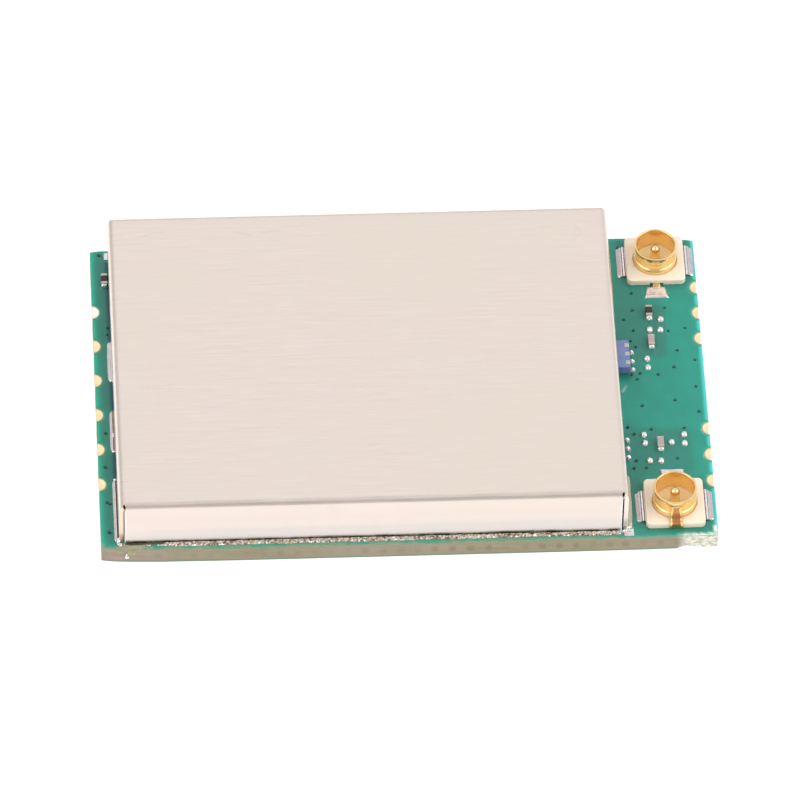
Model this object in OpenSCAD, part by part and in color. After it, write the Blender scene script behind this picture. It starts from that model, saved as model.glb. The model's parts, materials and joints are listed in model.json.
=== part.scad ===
// Castellated wifi module: circuit board, folded shield can, two push-on
// antenna sockets, and the chips that sit under the can.
// Millimetres. +Z is up, X runs along the long side of the board, Y runs
// towards its back edge. The origin is at the middle of the underside.
// Part positions are taken from the front left corner of the board.

/* [Board] */
// Length of the board
board_w = 27; // [27:0.5:29]
// Depth of the board
board_d = 17.5; // [17.5:0.25:18.5]
// Thickness of the laminate
board_t = 0.8; // [0.6:0.1:1.2]

/* [Edge contacts] */
// Radius of the half hole drilled at each edge contact
contact_r = 0.37; // [0.33:0.01:0.42]
// Thickness of the plating in the half hole
plating = 0.05; // [0.03:0.01:0.06]
// Width of the bare ring round each half hole
contact_ring = 0.04; // [0.03:0.01:0.1]
// Pitch of the contacts on the left edge
left_pitch = 2; // [1.8:0.1:2.2]
// Pitch of the contacts on the right edge
right_pitch = 1.5; // [1.3:0.1:1.6]

/* [Shield can] */
// Thickness of the sheet
sheet = 0.2; // [0.15:0.05:0.2]
// Height of the can above the board
can_h = 2.38; // [2.3:0.02:2.8]
// Outside radius of the folds
fold_r = 0.3; // [0.24:0.01:0.32]
// Height of the low arches in the left wall, over the edge contact traces
arch_h = 0.3; // [0.2:0.05:0.5]
// Height of the windows in the right wall, over the band filters
window_h = 0.7; // [0.6:0.05:1]

/* [Antenna sockets] */
// Side of the square insulator
socket_w = 2.6; // [2.6:0.05:2.7]
// Thickness of the insulator outside the shell
socket_t = 0.32; // [0.3:0.01:0.36]
// Height of the shell above the board
socket_h = 1.25; // [1.2:0.01:1.3]
// Outside radius of the shell's rim
rim_r = 0.94; // [0.9:0.01:0.96]
// Outside radius of the shell's foot
foot_r = 1.0; // [0.98:0.01:1.04]
// Outside radius of the shell at the narrowest place of the groove under the rim
groove_r = 0.88; // [0.86:0.01:0.89]
// Inside radius of the shell
bore_r = 0.84; // [0.8:0.01:0.84]
// Radius of the centre pin
pin_r = 0.2; // [0.18:0.01:0.25]

/* [Hidden] */
eps = 0.01;
// top surface of the board
top = board_t;

// outline of the can, from the front left corner of the board
can_x0 = 0.78;
can_x1 = 23.03;
can_y0 = 0.54;
can_y1 = 17.44;
can_z1 = top + can_h;
// width of the slit at each front corner, and how far it runs into the top
slit = 0.06;
slit_end = fold_r - 0.04;
// size of the clipped back corners
back_clip = 0.28;

// low arches in the left wall [front, back]
left_arches = [[4.2, 5.6], [8.2, 9.7], [12.2, 16.8]];
// windows in the right wall [front, back]
right_windows = [[3.8, 6.6], [8.95, 11.75]];

// edge contacts: first one and how many, and how far outside the edge they centre
contact_out = 0.05;
left_first = 3.86;   left_count = 6;
right_first_a = 3.21; right_first_b = 11.46; right_count = 3;

// middle of each antenna socket, and which way its signal lead points
rear_socket_at = [board_w - 1.8, 15.96];
front_socket_at = [board_w - 1.84, 1.83];

// middle of each band filter
rear_filter_at = [23.32, 10.25];
front_filter_at = [22.76, 5.1];
filter_w = 0.8; filter_l = 1.6; filter_t = 0.5;

// ground tabs of each socket: reach to each side, and towards its lead and strap
tab_reach = 1.55; tab_front = 0.82; tab_back = 0.94;
// width of the strap over the insulator
strap_w = 0.56;

// bare pads that carry only a dome of solder
bare_pads = [
    [board_w - 1.74, 12.65], [board_w - 1.79, 12.02], [board_w - 2.27, 12.05],
    [board_w - 2.49, 10.35], [board_w - 2.48, 9.83],
    [board_w - 2.91, 5.94], [board_w - 2.89, 5.45], [board_w - 1.72, 5.47],
    [board_w - 1.14, 5.91], [board_w - 1.15, 5.39],
    [board_w - 2.74, 4.44], [board_w - 2.25, 4.42]
];

// small parts on the right strip, lying along Y
feed_inductor_at = [board_w - 2.25, 12.97];
feed_capacitors_at = [[board_w - 2.25, 11.25], [board_w - 2.22, 5.3]];
// small part beside the left wall, lying along Y
edge_chip_at = [0.6, 15.62];

// parts under the can: [x, y, turn]
wifi_chip_at = [11.5, 8.8];
crystal_at = [9.2, 2.6];
memory_chip_at = [14.7, 2.5];
regulator_at = [4.6, 12.6];
power_inductor_at = [4.4, 15.3];
rear_amplifier_at = [19.1, 12.4];
front_amplifier_at = [19.1, 5.2];
bulk_capacitors_at = [[2.1, 8.6, 90], [2.1, 11.0, 90], [6.9, 15.9, 90], [20.9, 15.9, 0], [20.9, 1.8, 0]];
ferrite_beads_at = [[2.1, 13.4, 90], [17.9, 15.9, 0]];
balun_at = [[17.0, 11.0, 90], [17.0, 6.6, 90]];
bypass_capacitors_at = concat(
    [for (i = [0:5]) [5.9, 4.9 + 1.3 * i, 90]],
    [for (i = [0:5]) [8.3 + 1.3 * i, 14.2, 0]],
    [[12.4, 3.3, 90], [3.4, 5.2, 0], [3.4, 6.4, 0]]
);
amplifier_capacitors_at = [
    [18.3, 14.5, 0], [19.9, 14.5, 0], [18.3, 3.0, 0], [19.9, 3.0, 0],
    [18.6, 9.9, 0], [18.6, 7.7, 0]
];
bias_resistors_at = concat(
    [for (i = [0:4]) [8.6 + 1.4 * i, 15.7, 0]],
    [[3.4, 2.2, 0], [3.4, 3.4, 0]]
);
matching_inductors_at = [[21.2, 12.2, 0], [21.2, 5.0, 0], [17.0, 12.9, 90], [17.0, 4.7, 90]];
matching_capacitors_at = [[21.2, 13.0, 0], [21.2, 11.4, 0], [21.2, 5.8, 0], [21.2, 4.2, 0]];
crystal_capacitors_at = [[6.8, 2.2, 90], [11.5, 1.7, 90]];

// package sizes [length, width, height, end cap]
size_0201 = [0.6, 0.3, 0.3, 0.15];
size_0402 = [1.0, 0.5, 0.5, 0.25];
size_0402_flat = [1.0, 0.5, 0.35, 0.22];
size_0603 = [1.6, 0.8, 0.8, 0.35];
size_0603_flat = [1.6, 0.8, 0.6, 0.3];

// ---------------------------------------------------------------- helpers

// moves board positions to the origin at the middle of the underside
module place() {
    translate([-board_w / 2, -board_d / 2, 0]) children();
}

// children copied to each [x, y, turn] on the top of the board
module at_each(list) {
    for (p = list)
        translate([p[0], p[1], top]) rotate([0, 0, len(p) > 2 ? p[2] : 0]) children();
}

// positions and turning angle of every edge contact in a row
function contact_row(x, first, pitch, count) = [for (i = [0:count - 1]) [x, first + pitch * i]];

// the middle of each half hole lies just outside the board's edge
function outward(x) = x > 1 ? contact_out : -contact_out;

// one ceramic chip part along X, standing on z = 0
module chip(size) {
    l = size[0]; w = size[1]; h = size[2]; cap = size[3];
    union() {
        translate([-l / 2, -w / 2, 0]) cube([cap, w, h]);
        translate([l / 2 - cap, -w / 2, 0]) cube([cap, w, h]);
        translate([-l / 2 + cap / 2, -w / 2 + 0.01, 0.01]) cube([l - cap, w - 0.02, h - 0.02]);
    }
}

// the two solder fillets of a chip part along X
module chip_fillets(size) {
    l = size[0]; w = size[1]; h = size[2];
    reach = 0.12 + 0.15 * w;
    for (side = [0, 1])
        mirror([side, 0, 0])
            translate([l / 2, w / 2, 0]) rotate([90, 0, 0])
                linear_extrude(w) polygon([[0, 0], [reach, 0], [reach, 0.02], [reach * 0.4, h * 0.22], [0, h * 0.6]]);
}

// flat moulded package with bare lands along all four sides
module leadless_package(w, d, h, count_x, count_y, pitch, land) {
    union() {
        translate([-w / 2, -d / 2, 0]) cube([w, d, h]);
        for (s = [-1, 1], i = [0:count_x - 1])
            translate([(i - (count_x - 1) / 2) * pitch - land / 2, s * (d / 2 + 0.005) - 0.015, 0])
                cube([land, 0.03, 0.15]);
        for (s = [-1, 1], i = [0:count_y - 1])
            translate([s * (w / 2 + 0.005) - 0.015, (i - (count_y - 1) / 2) * pitch - land / 2, 0])
                cube([0.03, land, 0.15]);
    }
}

// solder toes in front of the lands of such a package
module leadless_toes(w, d, count_x, count_y, pitch, land) {
    off = 0.02;
    for (i = [0:count_x - 1], s = [0, 180])
        rotate([0, 0, s])
            translate([(i - (count_x - 1) / 2) * pitch - land / 2, d / 2 + off, 0])
                rotate([90, 0, 90]) linear_extrude(land) polygon([[0, 0], [0.2, 0], [0.2, 0.02], [0, 0.12]]);
    for (i = [0:count_y - 1], s = [0, 180])
        rotate([0, 0, s])
            translate([w / 2 + off, (i - (count_y - 1) / 2) * pitch + land / 2, 0])
                rotate([90, 0, 0]) linear_extrude(land) polygon([[0, 0], [0.2, 0], [0.2, 0.02], [0, 0.12]]);
}

// ------------------------------------------------------------------ board

left_contacts = contact_row(0, left_first, left_pitch, left_count);
right_contacts_a = contact_row(board_w, right_first_a, right_pitch, right_count);
right_contacts_b = contact_row(board_w, right_first_b, right_pitch, right_count);

// slightly rounded, routed outline with a snapped-off tab at the front right
module board_outline() {
    polygon([
        [0, 0.2], [0.5, 0.12], [1.3, 0.07], [2.5, 0.03], [6, 0], [20, 0],
        [board_w - 3, 0.04], [board_w - 1.7, 0.1], [board_w - 1.4, 0.14],
        [board_w - 1.1, 0.12], [board_w - 0.7, 0.18], [board_w, 0.2],
        [board_w, board_d - 0.24], [board_w - 0.3, board_d - 0.18],
        [board_w - 1.2, board_d - 0.06], [board_w - 3.4, board_d],
        [0.4, board_d], [0, board_d - 0.06]
    ]);
}

module circuit_board() {
    color([0.24, 0.6, 0.52])
    place() difference() {
        linear_extrude(board_t) board_outline();
        // half holes, and the shallow seats of their rings on both faces
        for (c = concat(left_contacts, right_contacts_a, right_contacts_b)) {
            x = c[0] + outward(c[0]);
            translate([x, c[1], -1]) cylinder(r = contact_r, h = board_t + 2, $fn = 48);
            for (z = [-1, board_t - 0.02])
                translate([x, c[1], z]) cylinder(r = contact_r + contact_ring, h = z < 0 ? 1.02 : 1, $fn = 48);
        }
        // chipped lower edge where the tab was snapped off
        translate([board_w - 1.5, -1, -1]) cube([3, 1.24, 1.1]);
    }
}

// plated half holes: a lining with a flat ring at each face
module edge_contact(x, y) {
    translate([x, y, 0])
        difference() {
            translate([outward(x), 0, 0]) union() {
                cylinder(r = contact_r, h = board_t, $fn = 48);
                cylinder(r = contact_r + contact_ring, h = 0.02, $fn = 48);
                translate([0, 0, board_t - 0.02]) cylinder(r = contact_r + contact_ring, h = 0.02, $fn = 48);
            }
            translate([outward(x), 0, -1]) cylinder(r = contact_r - plating, h = board_t + 2, $fn = 48);
            translate([x > 1 ? 0 : -2, -1, -1]) cube([2, 2, board_t + 2]);
        }
}

module edge_contacts_left() {
    color([1, 0.9, 0.66])
    place() for (c = left_contacts) edge_contact(c[0], c[1]);
}

module edge_contacts_right_front() {
    color([1, 0.9, 0.66])
    place() for (c = right_contacts_a) edge_contact(c[0], c[1]);
}

module edge_contacts_right_rear() {
    color([1, 0.9, 0.66])
    place() for (c = right_contacts_b) edge_contact(c[0], c[1]);
}

// ------------------------------------------------------------- shield can

// profile of a folded box, w wide and h high, with its two top corners
// rounded to radius r
module folded_profile(w, h, r) {
    union() {
        translate([-w / 2, 0]) square([w, h - r]);
        translate([-w / 2 + r, 0]) square([w - 2 * r, h]);
        for (x = [-1, 1]) translate([x * (w / 2 - r), h - r]) circle(r = r, $fn = 64);
    }
}

// block whose four top edges are folds, mitred at the corners, in the middle
// of z = 0
module folded_block(w, d, h, r) {
    intersection() {
        translate([0, d / 2 + 1, 0]) rotate([90, 0, 0]) linear_extrude(d + 2) folded_profile(w, h, r);
        translate([-w / 2 - 1, 0, 0]) rotate([90, 0, 90]) linear_extrude(w + 2) folded_profile(d, h, r);
    }
}

module shield_can() {
    cw = can_x1 - can_x0;
    cd = can_y1 - can_y0;
    color([0.86, 0.82, 0.78])
    place() translate([can_x0, can_y0, top])
    difference() {
        translate([cw / 2, cd / 2, 0]) folded_block(cw, cd, can_h, fold_r);
        translate([cw / 2, cd / 2, 0]) folded_block(cw - 2 * sheet, cd - 2 * sheet, can_h - sheet, fold_r - sheet);
        translate([sheet, sheet, -1]) cube([cw - 2 * sheet, cd - 2 * sheet, 1.5]);
        for (side = [0, 1])
            translate([side * cw, 0, 0]) mirror([side, 0, 0]) {
                // slit at the front corner, between the side wall and the front wall
                translate([sheet, -1, -1]) cube([slit, 1 + slit_end, can_h + 2]);
                // clipped back corner, and the slit under its fold
                translate([0, cd, -1]) rotate([0, 0, -45])
                    translate([-1, -1, 0]) cube([1 + back_clip / sqrt(2), 2, can_h + 2]);
                translate([0, cd, -1]) rotate([0, 0, -45])
                    translate([0, -0.045, 0]) cube([0.8, 0.09, 1 + can_h - fold_r - 0.05]);
            }
        // arches over the traces on the left, windows over the filters on the right
        for (a = left_arches)
            translate([-1, a[0] - can_y0, -1]) cube([1.5, a[1] - a[0], 1 + arch_h]);
        for (w = right_windows)
            translate([cw - 0.5, w[0] - can_y0, -1]) cube([1.5, w[1] - w[0], 1 + window_h]);
    }
}

// solder fillet along +X, leaning on a wall at y = 0 and reaching to -Y
module wall_fillet(length, reach, rise) {
    rotate([90, 0, 90]) linear_extrude(length)
        polygon([[0, 0], [0, rise], [-reach * 0.35, rise * 0.35], [-reach, 0.02], [-reach, 0]]);
}

// solder round the foot of the can, on its land
module shield_solder() {
    left = [[can_y0, 4.1], [5.7, 8.1], [9.8, 12.1]];
    right = [[can_y0, 3.7], [6.7, 8.85], [11.85, can_y1 - 0.3]];
    color([0.82, 0.8, 0.76])
    place() translate([0, 0, top]) {
        translate([can_x0 - 0.12, can_y0, 0]) wall_fillet(can_x1 - can_x0 + 0.4, 0.24, 0.2);
        for (s = left)
            translate([can_x0, s[1], 0]) rotate([0, 0, -90]) wall_fillet(s[1] - s[0], 0.14, 0.12);
        for (s = right)
            translate([can_x1, s[0], 0]) rotate([0, 0, 90]) wall_fillet(s[1] - s[0], 0.3, 0.12);
        // land at the back left corner, outside the clipped corner of the can
        translate([0.6, 16.9, 0]) cube([can_x0 - 0.6, 0.5, 0.03]);
    }
}

// --------------------------------------------------------- antenna sockets
// Each socket is drawn round its own middle, standing on z = 0, with its
// signal lead towards -Y and the strap of its shell towards +Y.

// the shell's wall, foot to rim, as a turned ring
module shell_ring() {
    rotate_extrude($fn = 96)
        polygon([
            [bore_r, 0], [foot_r, 0], [foot_r, socket_t + 0.14], [foot_r - 0.02, socket_t + 0.2],
            [groove_r + 0.02, socket_t + 0.34], [groove_r, socket_t + 0.5], [groove_r + 0.01, socket_h - 0.26],
            [rim_r, socket_h - 0.23], [rim_r, socket_h], [bore_r, socket_h]
        ]);
}

// what is taken out of the ring and its plate, so the signal lead can leave
module lead_gate(grow) {
    translate([-0.42 + grow, -2, -1]) cube([0.84 - 2 * grow, 2, 1 + socket_t - grow]);
}

module socket_shell() {
    difference() {
        union() {
            shell_ring();
            // ground plate under the insulator, with a tab at each side
            difference() {
                translate([-tab_reach, -tab_front, 0]) cube([2 * tab_reach, tab_front + tab_back, 0.12]);
                translate([0, 0, -1]) cylinder(r = bore_r, h = 3, $fn = 96);
            }
            // strap over the insulator and down its side
            translate([-strap_w / 2, (bore_r + foot_r) / 2, socket_t])
                cube([strap_w, socket_w / 2 + 0.1 - (bore_r + foot_r) / 2, 0.1]);
            translate([-strap_w / 2, socket_w / 2, 0.03]) cube([strap_w, 0.1, socket_t + 0.07]);
        }
        lead_gate(0);
    }
}

module centre_contact() {
    union() {
        // lead under the insulator, from the middle out to its solder joint
        translate([-0.2, -1.6, 0]) cube([0.4, 1.6, 0.12]);
        cylinder(r = 0.3, h = 0.12, $fn = 48);
        cylinder(r = pin_r, h = socket_h - 0.32, $fn = 48);
        // rounded nose
        translate([0, 0, socket_h - 0.32]) scale(1) rotate_extrude($fn = 48)
            intersection() {
                circle(r = pin_r, $fn = 48);
                square([pin_r, pin_r]);
            }
    }
}

module socket_insulator() {
    half = socket_w / 2 - 0.22;
    difference() {
        // square base with rounded corners
        linear_extrude(socket_t) union() {
            square([socket_w, 2 * half], center = true);
            square([2 * half, socket_w], center = true);
            for (x = [-1, 1], y = [-1, 1]) translate([x * half, y * half]) circle(r = 0.22, $fn = 48);
        }
        // moulded round the shell
        difference() {
            union() {
                shell_ring();
                translate([-2, -tab_front, -1]) cube([4, tab_front + tab_back, 1.12]);
            }
            // the floor of the well stays
            translate([0, 0, -2]) cylinder(r = bore_r, h = 5, $fn = 96);
            lead_gate(0);
        }
        // hollow over the plate, and the bed of the signal lead
        translate([-0.2, -1.6, -1]) cube([0.4, 1.6, 1.12]);
        translate([0, 0, -1]) cylinder(r = 0.3, h = 1.12, $fn = 48);
        translate([0, 0, -1]) cylinder(r = pin_r, h = 3, $fn = 48);
    }
}

// solder of the signal lead and of the two ground tabs
module socket_solder() {
    // signal joint
    translate([-0.52, -2.0, 0]) difference() {
        union() {
            cube([1.04, 0.66, 0.05]);
            translate([0.22, 0.3, 0]) cube([0.6, 0.36, 0.1]);
        }
        translate([0.32, 0.4, -1]) cube([0.4, 1, 2]);
    }
    for (side = [0, 1])
        mirror([side, 0, 0])
            translate([tab_reach, -tab_front, 0]) rotate([90, 0, 180])
                mirror([1, 0, 0]) linear_extrude(tab_front + tab_back)
                    polygon([[0, 0], [0.17, 0], [0.17, 0.03], [0, 0.1]]);
}

module at_rear_socket() {
    place() translate([rear_socket_at[0], rear_socket_at[1], top]) children();
}

module at_front_socket() {
    place() translate([front_socket_at[0], front_socket_at[1], top]) rotate([0, 0, 180]) children();
}

module rear_socket_insulator() { color([0.98, 0.93, 0.83]) at_rear_socket() socket_insulator(); }
module rear_socket_shell() { color([0.9, 0.66, 0.3]) at_rear_socket() socket_shell(); }
module rear_socket_pin() { color([0.95, 0.72, 0.35]) at_rear_socket() centre_contact(); }
module rear_socket_solder() { color([0.8, 0.78, 0.78]) at_rear_socket() socket_solder(); }
module front_socket_insulator() { color([0.98, 0.93, 0.83]) at_front_socket() socket_insulator(); }
module front_socket_shell() { color([0.9, 0.66, 0.3]) at_front_socket() socket_shell(); }
module front_socket_pin() { color([0.95, 0.72, 0.35]) at_front_socket() centre_contact(); }
module front_socket_solder() { color([0.8, 0.78, 0.78]) at_front_socket() socket_solder(); }

// ------------------------------------------------- parts outside the can

// six-terminal ceramic filter, long side along Y
module band_filter() {
    union() {
        translate([-filter_w / 2 + 0.02, -filter_l / 2, 0.02]) cube([filter_w - 0.04, filter_l, filter_t - 0.02]);
        for (s = [-1, 1], i = [-1:1])
            translate([s * (filter_w / 2 - 0.09) - 0.09, i * 0.5 - 0.12, 0]) cube([0.18, 0.24, filter_t + 0.01]);
    }
}

module band_filter_joints() {
    for (s = [0, 1], i = [-1:1])
        mirror([s, 0, 0]) translate([filter_w / 2, i * 0.5 + 0.12, 0]) rotate([90, 0, 0])
            linear_extrude(0.24) polygon([[0, 0], [0.26, 0], [0.24, 0.05], [0.1, 0.12], [0, 0.22]]);
}

module rear_band_filter() {
    color([0.42, 0.54, 0.78]) place() at_each([rear_filter_at]) band_filter();
}

module front_band_filter() {
    color([0.42, 0.54, 0.78]) place() at_each([front_filter_at]) band_filter();
}

module band_filter_solder() {
    color([0.9, 0.9, 0.88]) place() at_each([rear_filter_at, front_filter_at]) band_filter_joints();
}

module feed_inductor() {
    color([0.2, 0.18, 0.18]) place() at_each([feed_inductor_at]) rotate([0, 0, 90]) chip(size_0201);
}

module feed_capacitors() {
    color([0.76, 0.7, 0.72]) place() at_each(feed_capacitors_at) rotate([0, 0, 90]) chip(size_0201);
}

module edge_chip() {
    color([0.25, 0.22, 0.22]) place() at_each([edge_chip_at]) rotate([0, 0, 90]) chip(size_0201);
}

module strip_chip_solder() {
    color([0.8, 0.8, 0.8])
    place() at_each(concat([feed_inductor_at, edge_chip_at], feed_capacitors_at))
        rotate([0, 0, 90]) chip_fillets(size_0201);
}

module bare_pad_solder() {
    color([0.92, 0.93, 0.92])
    place() at_each(bare_pads) cylinder(r1 = 0.17, r2 = 0.07, h = 0.08, $fn = 32);
}

// --------------------------------------------------- parts under the can

module wifi_chip() {
    color([0.16, 0.16, 0.17])
    place() at_each([wifi_chip_at]) leadless_package(9, 9, 0.85, 17, 17, 0.5, 0.23);
}

module wifi_chip_solder() {
    color([0.8, 0.8, 0.8])
    place() at_each([wifi_chip_at]) leadless_toes(9, 9, 17, 17, 0.5, 0.23);
}

// ceramic base with a seam-welded metal lid
module crystal() {
    color([0.8, 0.78, 0.7])
    place() at_each([crystal_at]) union() {
        translate([-1.6, -1.25, 0]) cube([3.2, 2.5, 0.5]);
        translate([-1.4, -1.05, 0.5]) cube([2.8, 2.1, 0.2]);
    }
}

module crystal_capacitors() {
    color([0.7, 0.62, 0.52]) place() at_each(crystal_capacitors_at) chip(size_0201);
}

module memory_chip() {
    color([0.16, 0.16, 0.17])
    place() at_each([memory_chip_at]) leadless_package(3, 2, 0.6, 4, 0, 0.5, 0.25);
}

module regulator_chip() {
    color([0.16, 0.16, 0.17])
    place() at_each([regulator_at]) leadless_package(2, 2, 0.75, 3, 0, 0.65, 0.3);
}

// square ferrite body on two end terminals
module power_inductor() {
    color([0.35, 0.33, 0.32])
    place() at_each([power_inductor_at]) union() {
        translate([-1.25, -1, 0]) cube([0.5, 2, 0.15]);
        translate([0.75, -1, 0]) cube([0.5, 2, 0.15]);
        translate([-1.25, -1, 0.1]) cube([2.5, 2, 1.1]);
    }
}

module rear_amplifier_chip() {
    color([0.16, 0.16, 0.17])
    place() at_each([rear_amplifier_at]) leadless_package(2.5, 2.5, 0.6, 5, 5, 0.4, 0.2);
}

module front_amplifier_chip() {
    color([0.16, 0.16, 0.17])
    place() at_each([front_amplifier_at]) leadless_package(2.5, 2.5, 0.6, 5, 5, 0.4, 0.2);
}

module baluns() { color([0.85, 0.85, 0.8]) place() at_each(balun_at) chip(size_0603_flat); }
module matching_inductors() { color([0.3, 0.4, 0.6]) place() at_each(matching_inductors_at) chip(size_0201); }
module matching_capacitors() { color([0.7, 0.62, 0.52]) place() at_each(matching_capacitors_at) chip(size_0201); }
module bulk_capacitors() { color([0.66, 0.55, 0.42]) place() at_each(bulk_capacitors_at) chip(size_0603); }
module bypass_capacitors() { color([0.66, 0.55, 0.42]) place() at_each(bypass_capacitors_at) chip(size_0402); }
module amplifier_capacitors() { color([0.66, 0.55, 0.42]) place() at_each(amplifier_capacitors_at) chip(size_0402); }
module bias_resistors() { color([0.18, 0.18, 0.2]) place() at_each(bias_resistors_at) chip(size_0402_flat); }
module ferrite_beads() { color([0.3, 0.3, 0.3]) place() at_each(ferrite_beads_at) chip(size_0603); }

// fillets of every chip part under the can
module inner_chip_solder() {
    color([0.8, 0.8, 0.8])
    place() {
        at_each(concat(crystal_capacitors_at, matching_inductors_at, matching_capacitors_at)) chip_fillets(size_0201);
        at_each(concat(bypass_capacitors_at, amplifier_capacitors_at)) chip_fillets(size_0402);
        at_each(bias_resistors_at) chip_fillets(size_0402_flat);
        at_each(concat(bulk_capacitors_at, ferrite_beads_at)) chip_fillets(size_0603);
        at_each(balun_at) chip_fillets(size_0603_flat);
    }
}

circuit_board();
edge_contacts_left();
edge_contacts_right_rear();
edge_contacts_right_front();
shield_can();
shield_solder();
rear_socket_insulator();
rear_socket_shell();
rear_socket_pin();
rear_socket_solder();
front_socket_insulator();
front_socket_shell();
front_socket_pin();
front_socket_solder();
rear_band_filter();
front_band_filter();
band_filter_solder();
feed_inductor();
feed_capacitors();
edge_chip();
strip_chip_solder();
bare_pad_solder();
wifi_chip();
wifi_chip_solder();
crystal();
crystal_capacitors();
memory_chip();
regulator_chip();
power_inductor();
rear_amplifier_chip();
front_amplifier_chip();
baluns();
matching_inductors();
matching_capacitors();
bulk_capacitors();
bypass_capacitors();
amplifier_capacitors();
bias_resistors();
ferrite_beads();
inner_chip_solder();
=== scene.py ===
import json
import math

import bmesh
import bpy
import numpy as np
from mathutils import Matrix, Vector, noise
from mathutils.geometry import delaunay_2d_cdt


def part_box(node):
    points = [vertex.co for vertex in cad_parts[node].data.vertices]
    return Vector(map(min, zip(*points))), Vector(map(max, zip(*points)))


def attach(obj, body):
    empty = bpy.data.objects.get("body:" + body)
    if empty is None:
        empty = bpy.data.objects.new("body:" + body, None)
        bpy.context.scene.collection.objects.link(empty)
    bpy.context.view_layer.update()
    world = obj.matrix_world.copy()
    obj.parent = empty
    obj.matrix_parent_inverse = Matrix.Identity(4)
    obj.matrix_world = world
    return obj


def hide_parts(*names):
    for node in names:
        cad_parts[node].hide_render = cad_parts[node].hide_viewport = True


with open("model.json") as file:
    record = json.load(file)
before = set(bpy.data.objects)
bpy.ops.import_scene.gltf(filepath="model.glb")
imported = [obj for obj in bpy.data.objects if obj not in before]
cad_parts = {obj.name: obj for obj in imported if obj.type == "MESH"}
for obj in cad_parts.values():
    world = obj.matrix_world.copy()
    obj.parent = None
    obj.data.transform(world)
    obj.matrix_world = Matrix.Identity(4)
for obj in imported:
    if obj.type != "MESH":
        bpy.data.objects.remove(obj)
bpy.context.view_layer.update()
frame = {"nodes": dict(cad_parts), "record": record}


# ------------------------------------------------------------------ the frame
# Everything below is drawn in millimetres from the board's front left corner
# at its underside, and turned into metres in the row frame when a mesh is made.
b_lo, b_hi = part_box("circuit_board")
OFF = np.array([-b_lo.x * 1000, -b_lo.y * 1000, 0.0])
BW = (b_hi.x - b_lo.x) * 1000
BD = (b_hi.y - b_lo.y) * 1000
T = b_hi.z * 1000


def corner(node):
    lo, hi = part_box(node)
    return np.array(lo) * 1000 + OFF, np.array(hi) * 1000 + OFF


def islands(node):
    """Boxes of a node's separate solids, in the corner frame."""
    me = frame["nodes"][node].data
    co = np.array([v.co for v in me.vertices]) * 1000
    _, inv = np.unique(np.round(co, 4), axis=0, return_inverse=True)
    inv = np.asarray(inv).ravel()
    up = list(range(int(inv.max()) + 1))

    def find(a):
        while up[a] != a:
            up[a] = up[up[a]]
            a = up[a]
        return a

    for e in me.edges:
        a, b = find(inv[e.vertices[0]]), find(inv[e.vertices[1]])
        if a != b:
            up[a] = b
    groups = {}
    for i, k in enumerate(inv):
        groups.setdefault(find(k), []).append(i)
    out = [(co[g].min(0) + OFF, co[g].max(0) + OFF) for g in groups.values()]
    return sorted(out, key=lambda b: (round(float(b[0][1]), 3), round(float(b[0][0]), 3)))


def fbm(x, y, z=0.0, octaves=3, seed=0.0):
    s, amp, tot = 0.0, 1.0, 0.0
    for k in range(octaves):
        q = 2.03**k
        s += amp * noise.noise(Vector((x * q + seed * 7.31, y * q - seed * 3.17, z * q + seed * 1.93)))
        tot += amp
        amp *= 0.5
    return s / tot


def smooth(a, b, x):
    t = min(1.0, max(0.0, (x - a) / (b - a)))
    return t * t * (3 - 2 * t)


# ------------------------------------------------------------------ mesh kit


class Geo:
    """Vertices, faces, material numbers and per-point numbers of one piece."""

    def __init__(self):
        self.v, self.f, self.m, self.a = [], [], [], {}

    def add(self, v, f, mi=0, **attrs):
        n0 = len(self.v)
        self.v.extend([tuple(map(float, p)) for p in v])
        self.f.extend([tuple(int(i) + n0 for i in face) for face in f])
        self.m.extend([mi] * len(f) if isinstance(mi, int) else list(mi))
        for k, vals in attrs.items():
            self.a.setdefault(k, [0.0] * n0)
            if np.isscalar(vals):
                vals = [float(vals)] * len(v)
            self.a[k].extend([float(x) for x in vals])
        for k in self.a:
            if len(self.a[k]) < len(self.v):
                self.a[k].extend([0.0] * (len(self.v) - len(self.a[k])))

    def moved(self, fn, start=0):
        self.v[start:] = [tuple(fn(*p)) for p in self.v[start:]]


def make(geo, name, mats, nodes, angle=35.0, weld=1e-5):
    me = bpy.data.meshes.new(name)
    pts = (np.array(geo.v) - OFF) * 0.001
    me.from_pydata(pts.tolist(), [], geo.f)
    for m in mats:
        me.materials.append(m)
    me.polygons.foreach_set("material_index", geo.m)
    for k, vals in geo.a.items():
        at = me.attributes.new(k, "FLOAT", "POINT")
        at.data.foreach_set("value", vals)
    bm = bmesh.new()
    bm.from_mesh(me)
    bmesh.ops.remove_doubles(bm, verts=bm.verts, dist=weld * 0.001)
    bmesh.ops.dissolve_degenerate(bm, edges=bm.edges, dist=1e-9)
    bmesh.ops.recalc_face_normals(bm, faces=bm.faces)
    bm.to_mesh(me)
    bm.free()
    me.shade_smooth()
    me.set_sharp_from_angle(angle=math.radians(angle))
    ob = bpy.data.objects.new(name, me)
    bpy.context.scene.collection.objects.link(ob)
    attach(ob, "root")
    if nodes:
        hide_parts(*nodes)
    return ob


def inside(poly, pts):
    """Which of pts (n, 2) lie inside a closed polygon."""
    poly = np.asarray(poly)
    pts = np.asarray(pts)
    x, y = pts[:, 0], pts[:, 1]
    hit = np.zeros(len(pts), bool)
    j = len(poly) - 1
    for i in range(len(poly)):
        xi, yi = poly[i]
        xj, yj = poly[j]
        cross = ((yi > y) != (yj > y)) & (x < (xj - xi) * (y - yi) / ((yj - yi) or 1e-12) + xi)
        hit ^= cross
        j = i
    return hit


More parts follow.
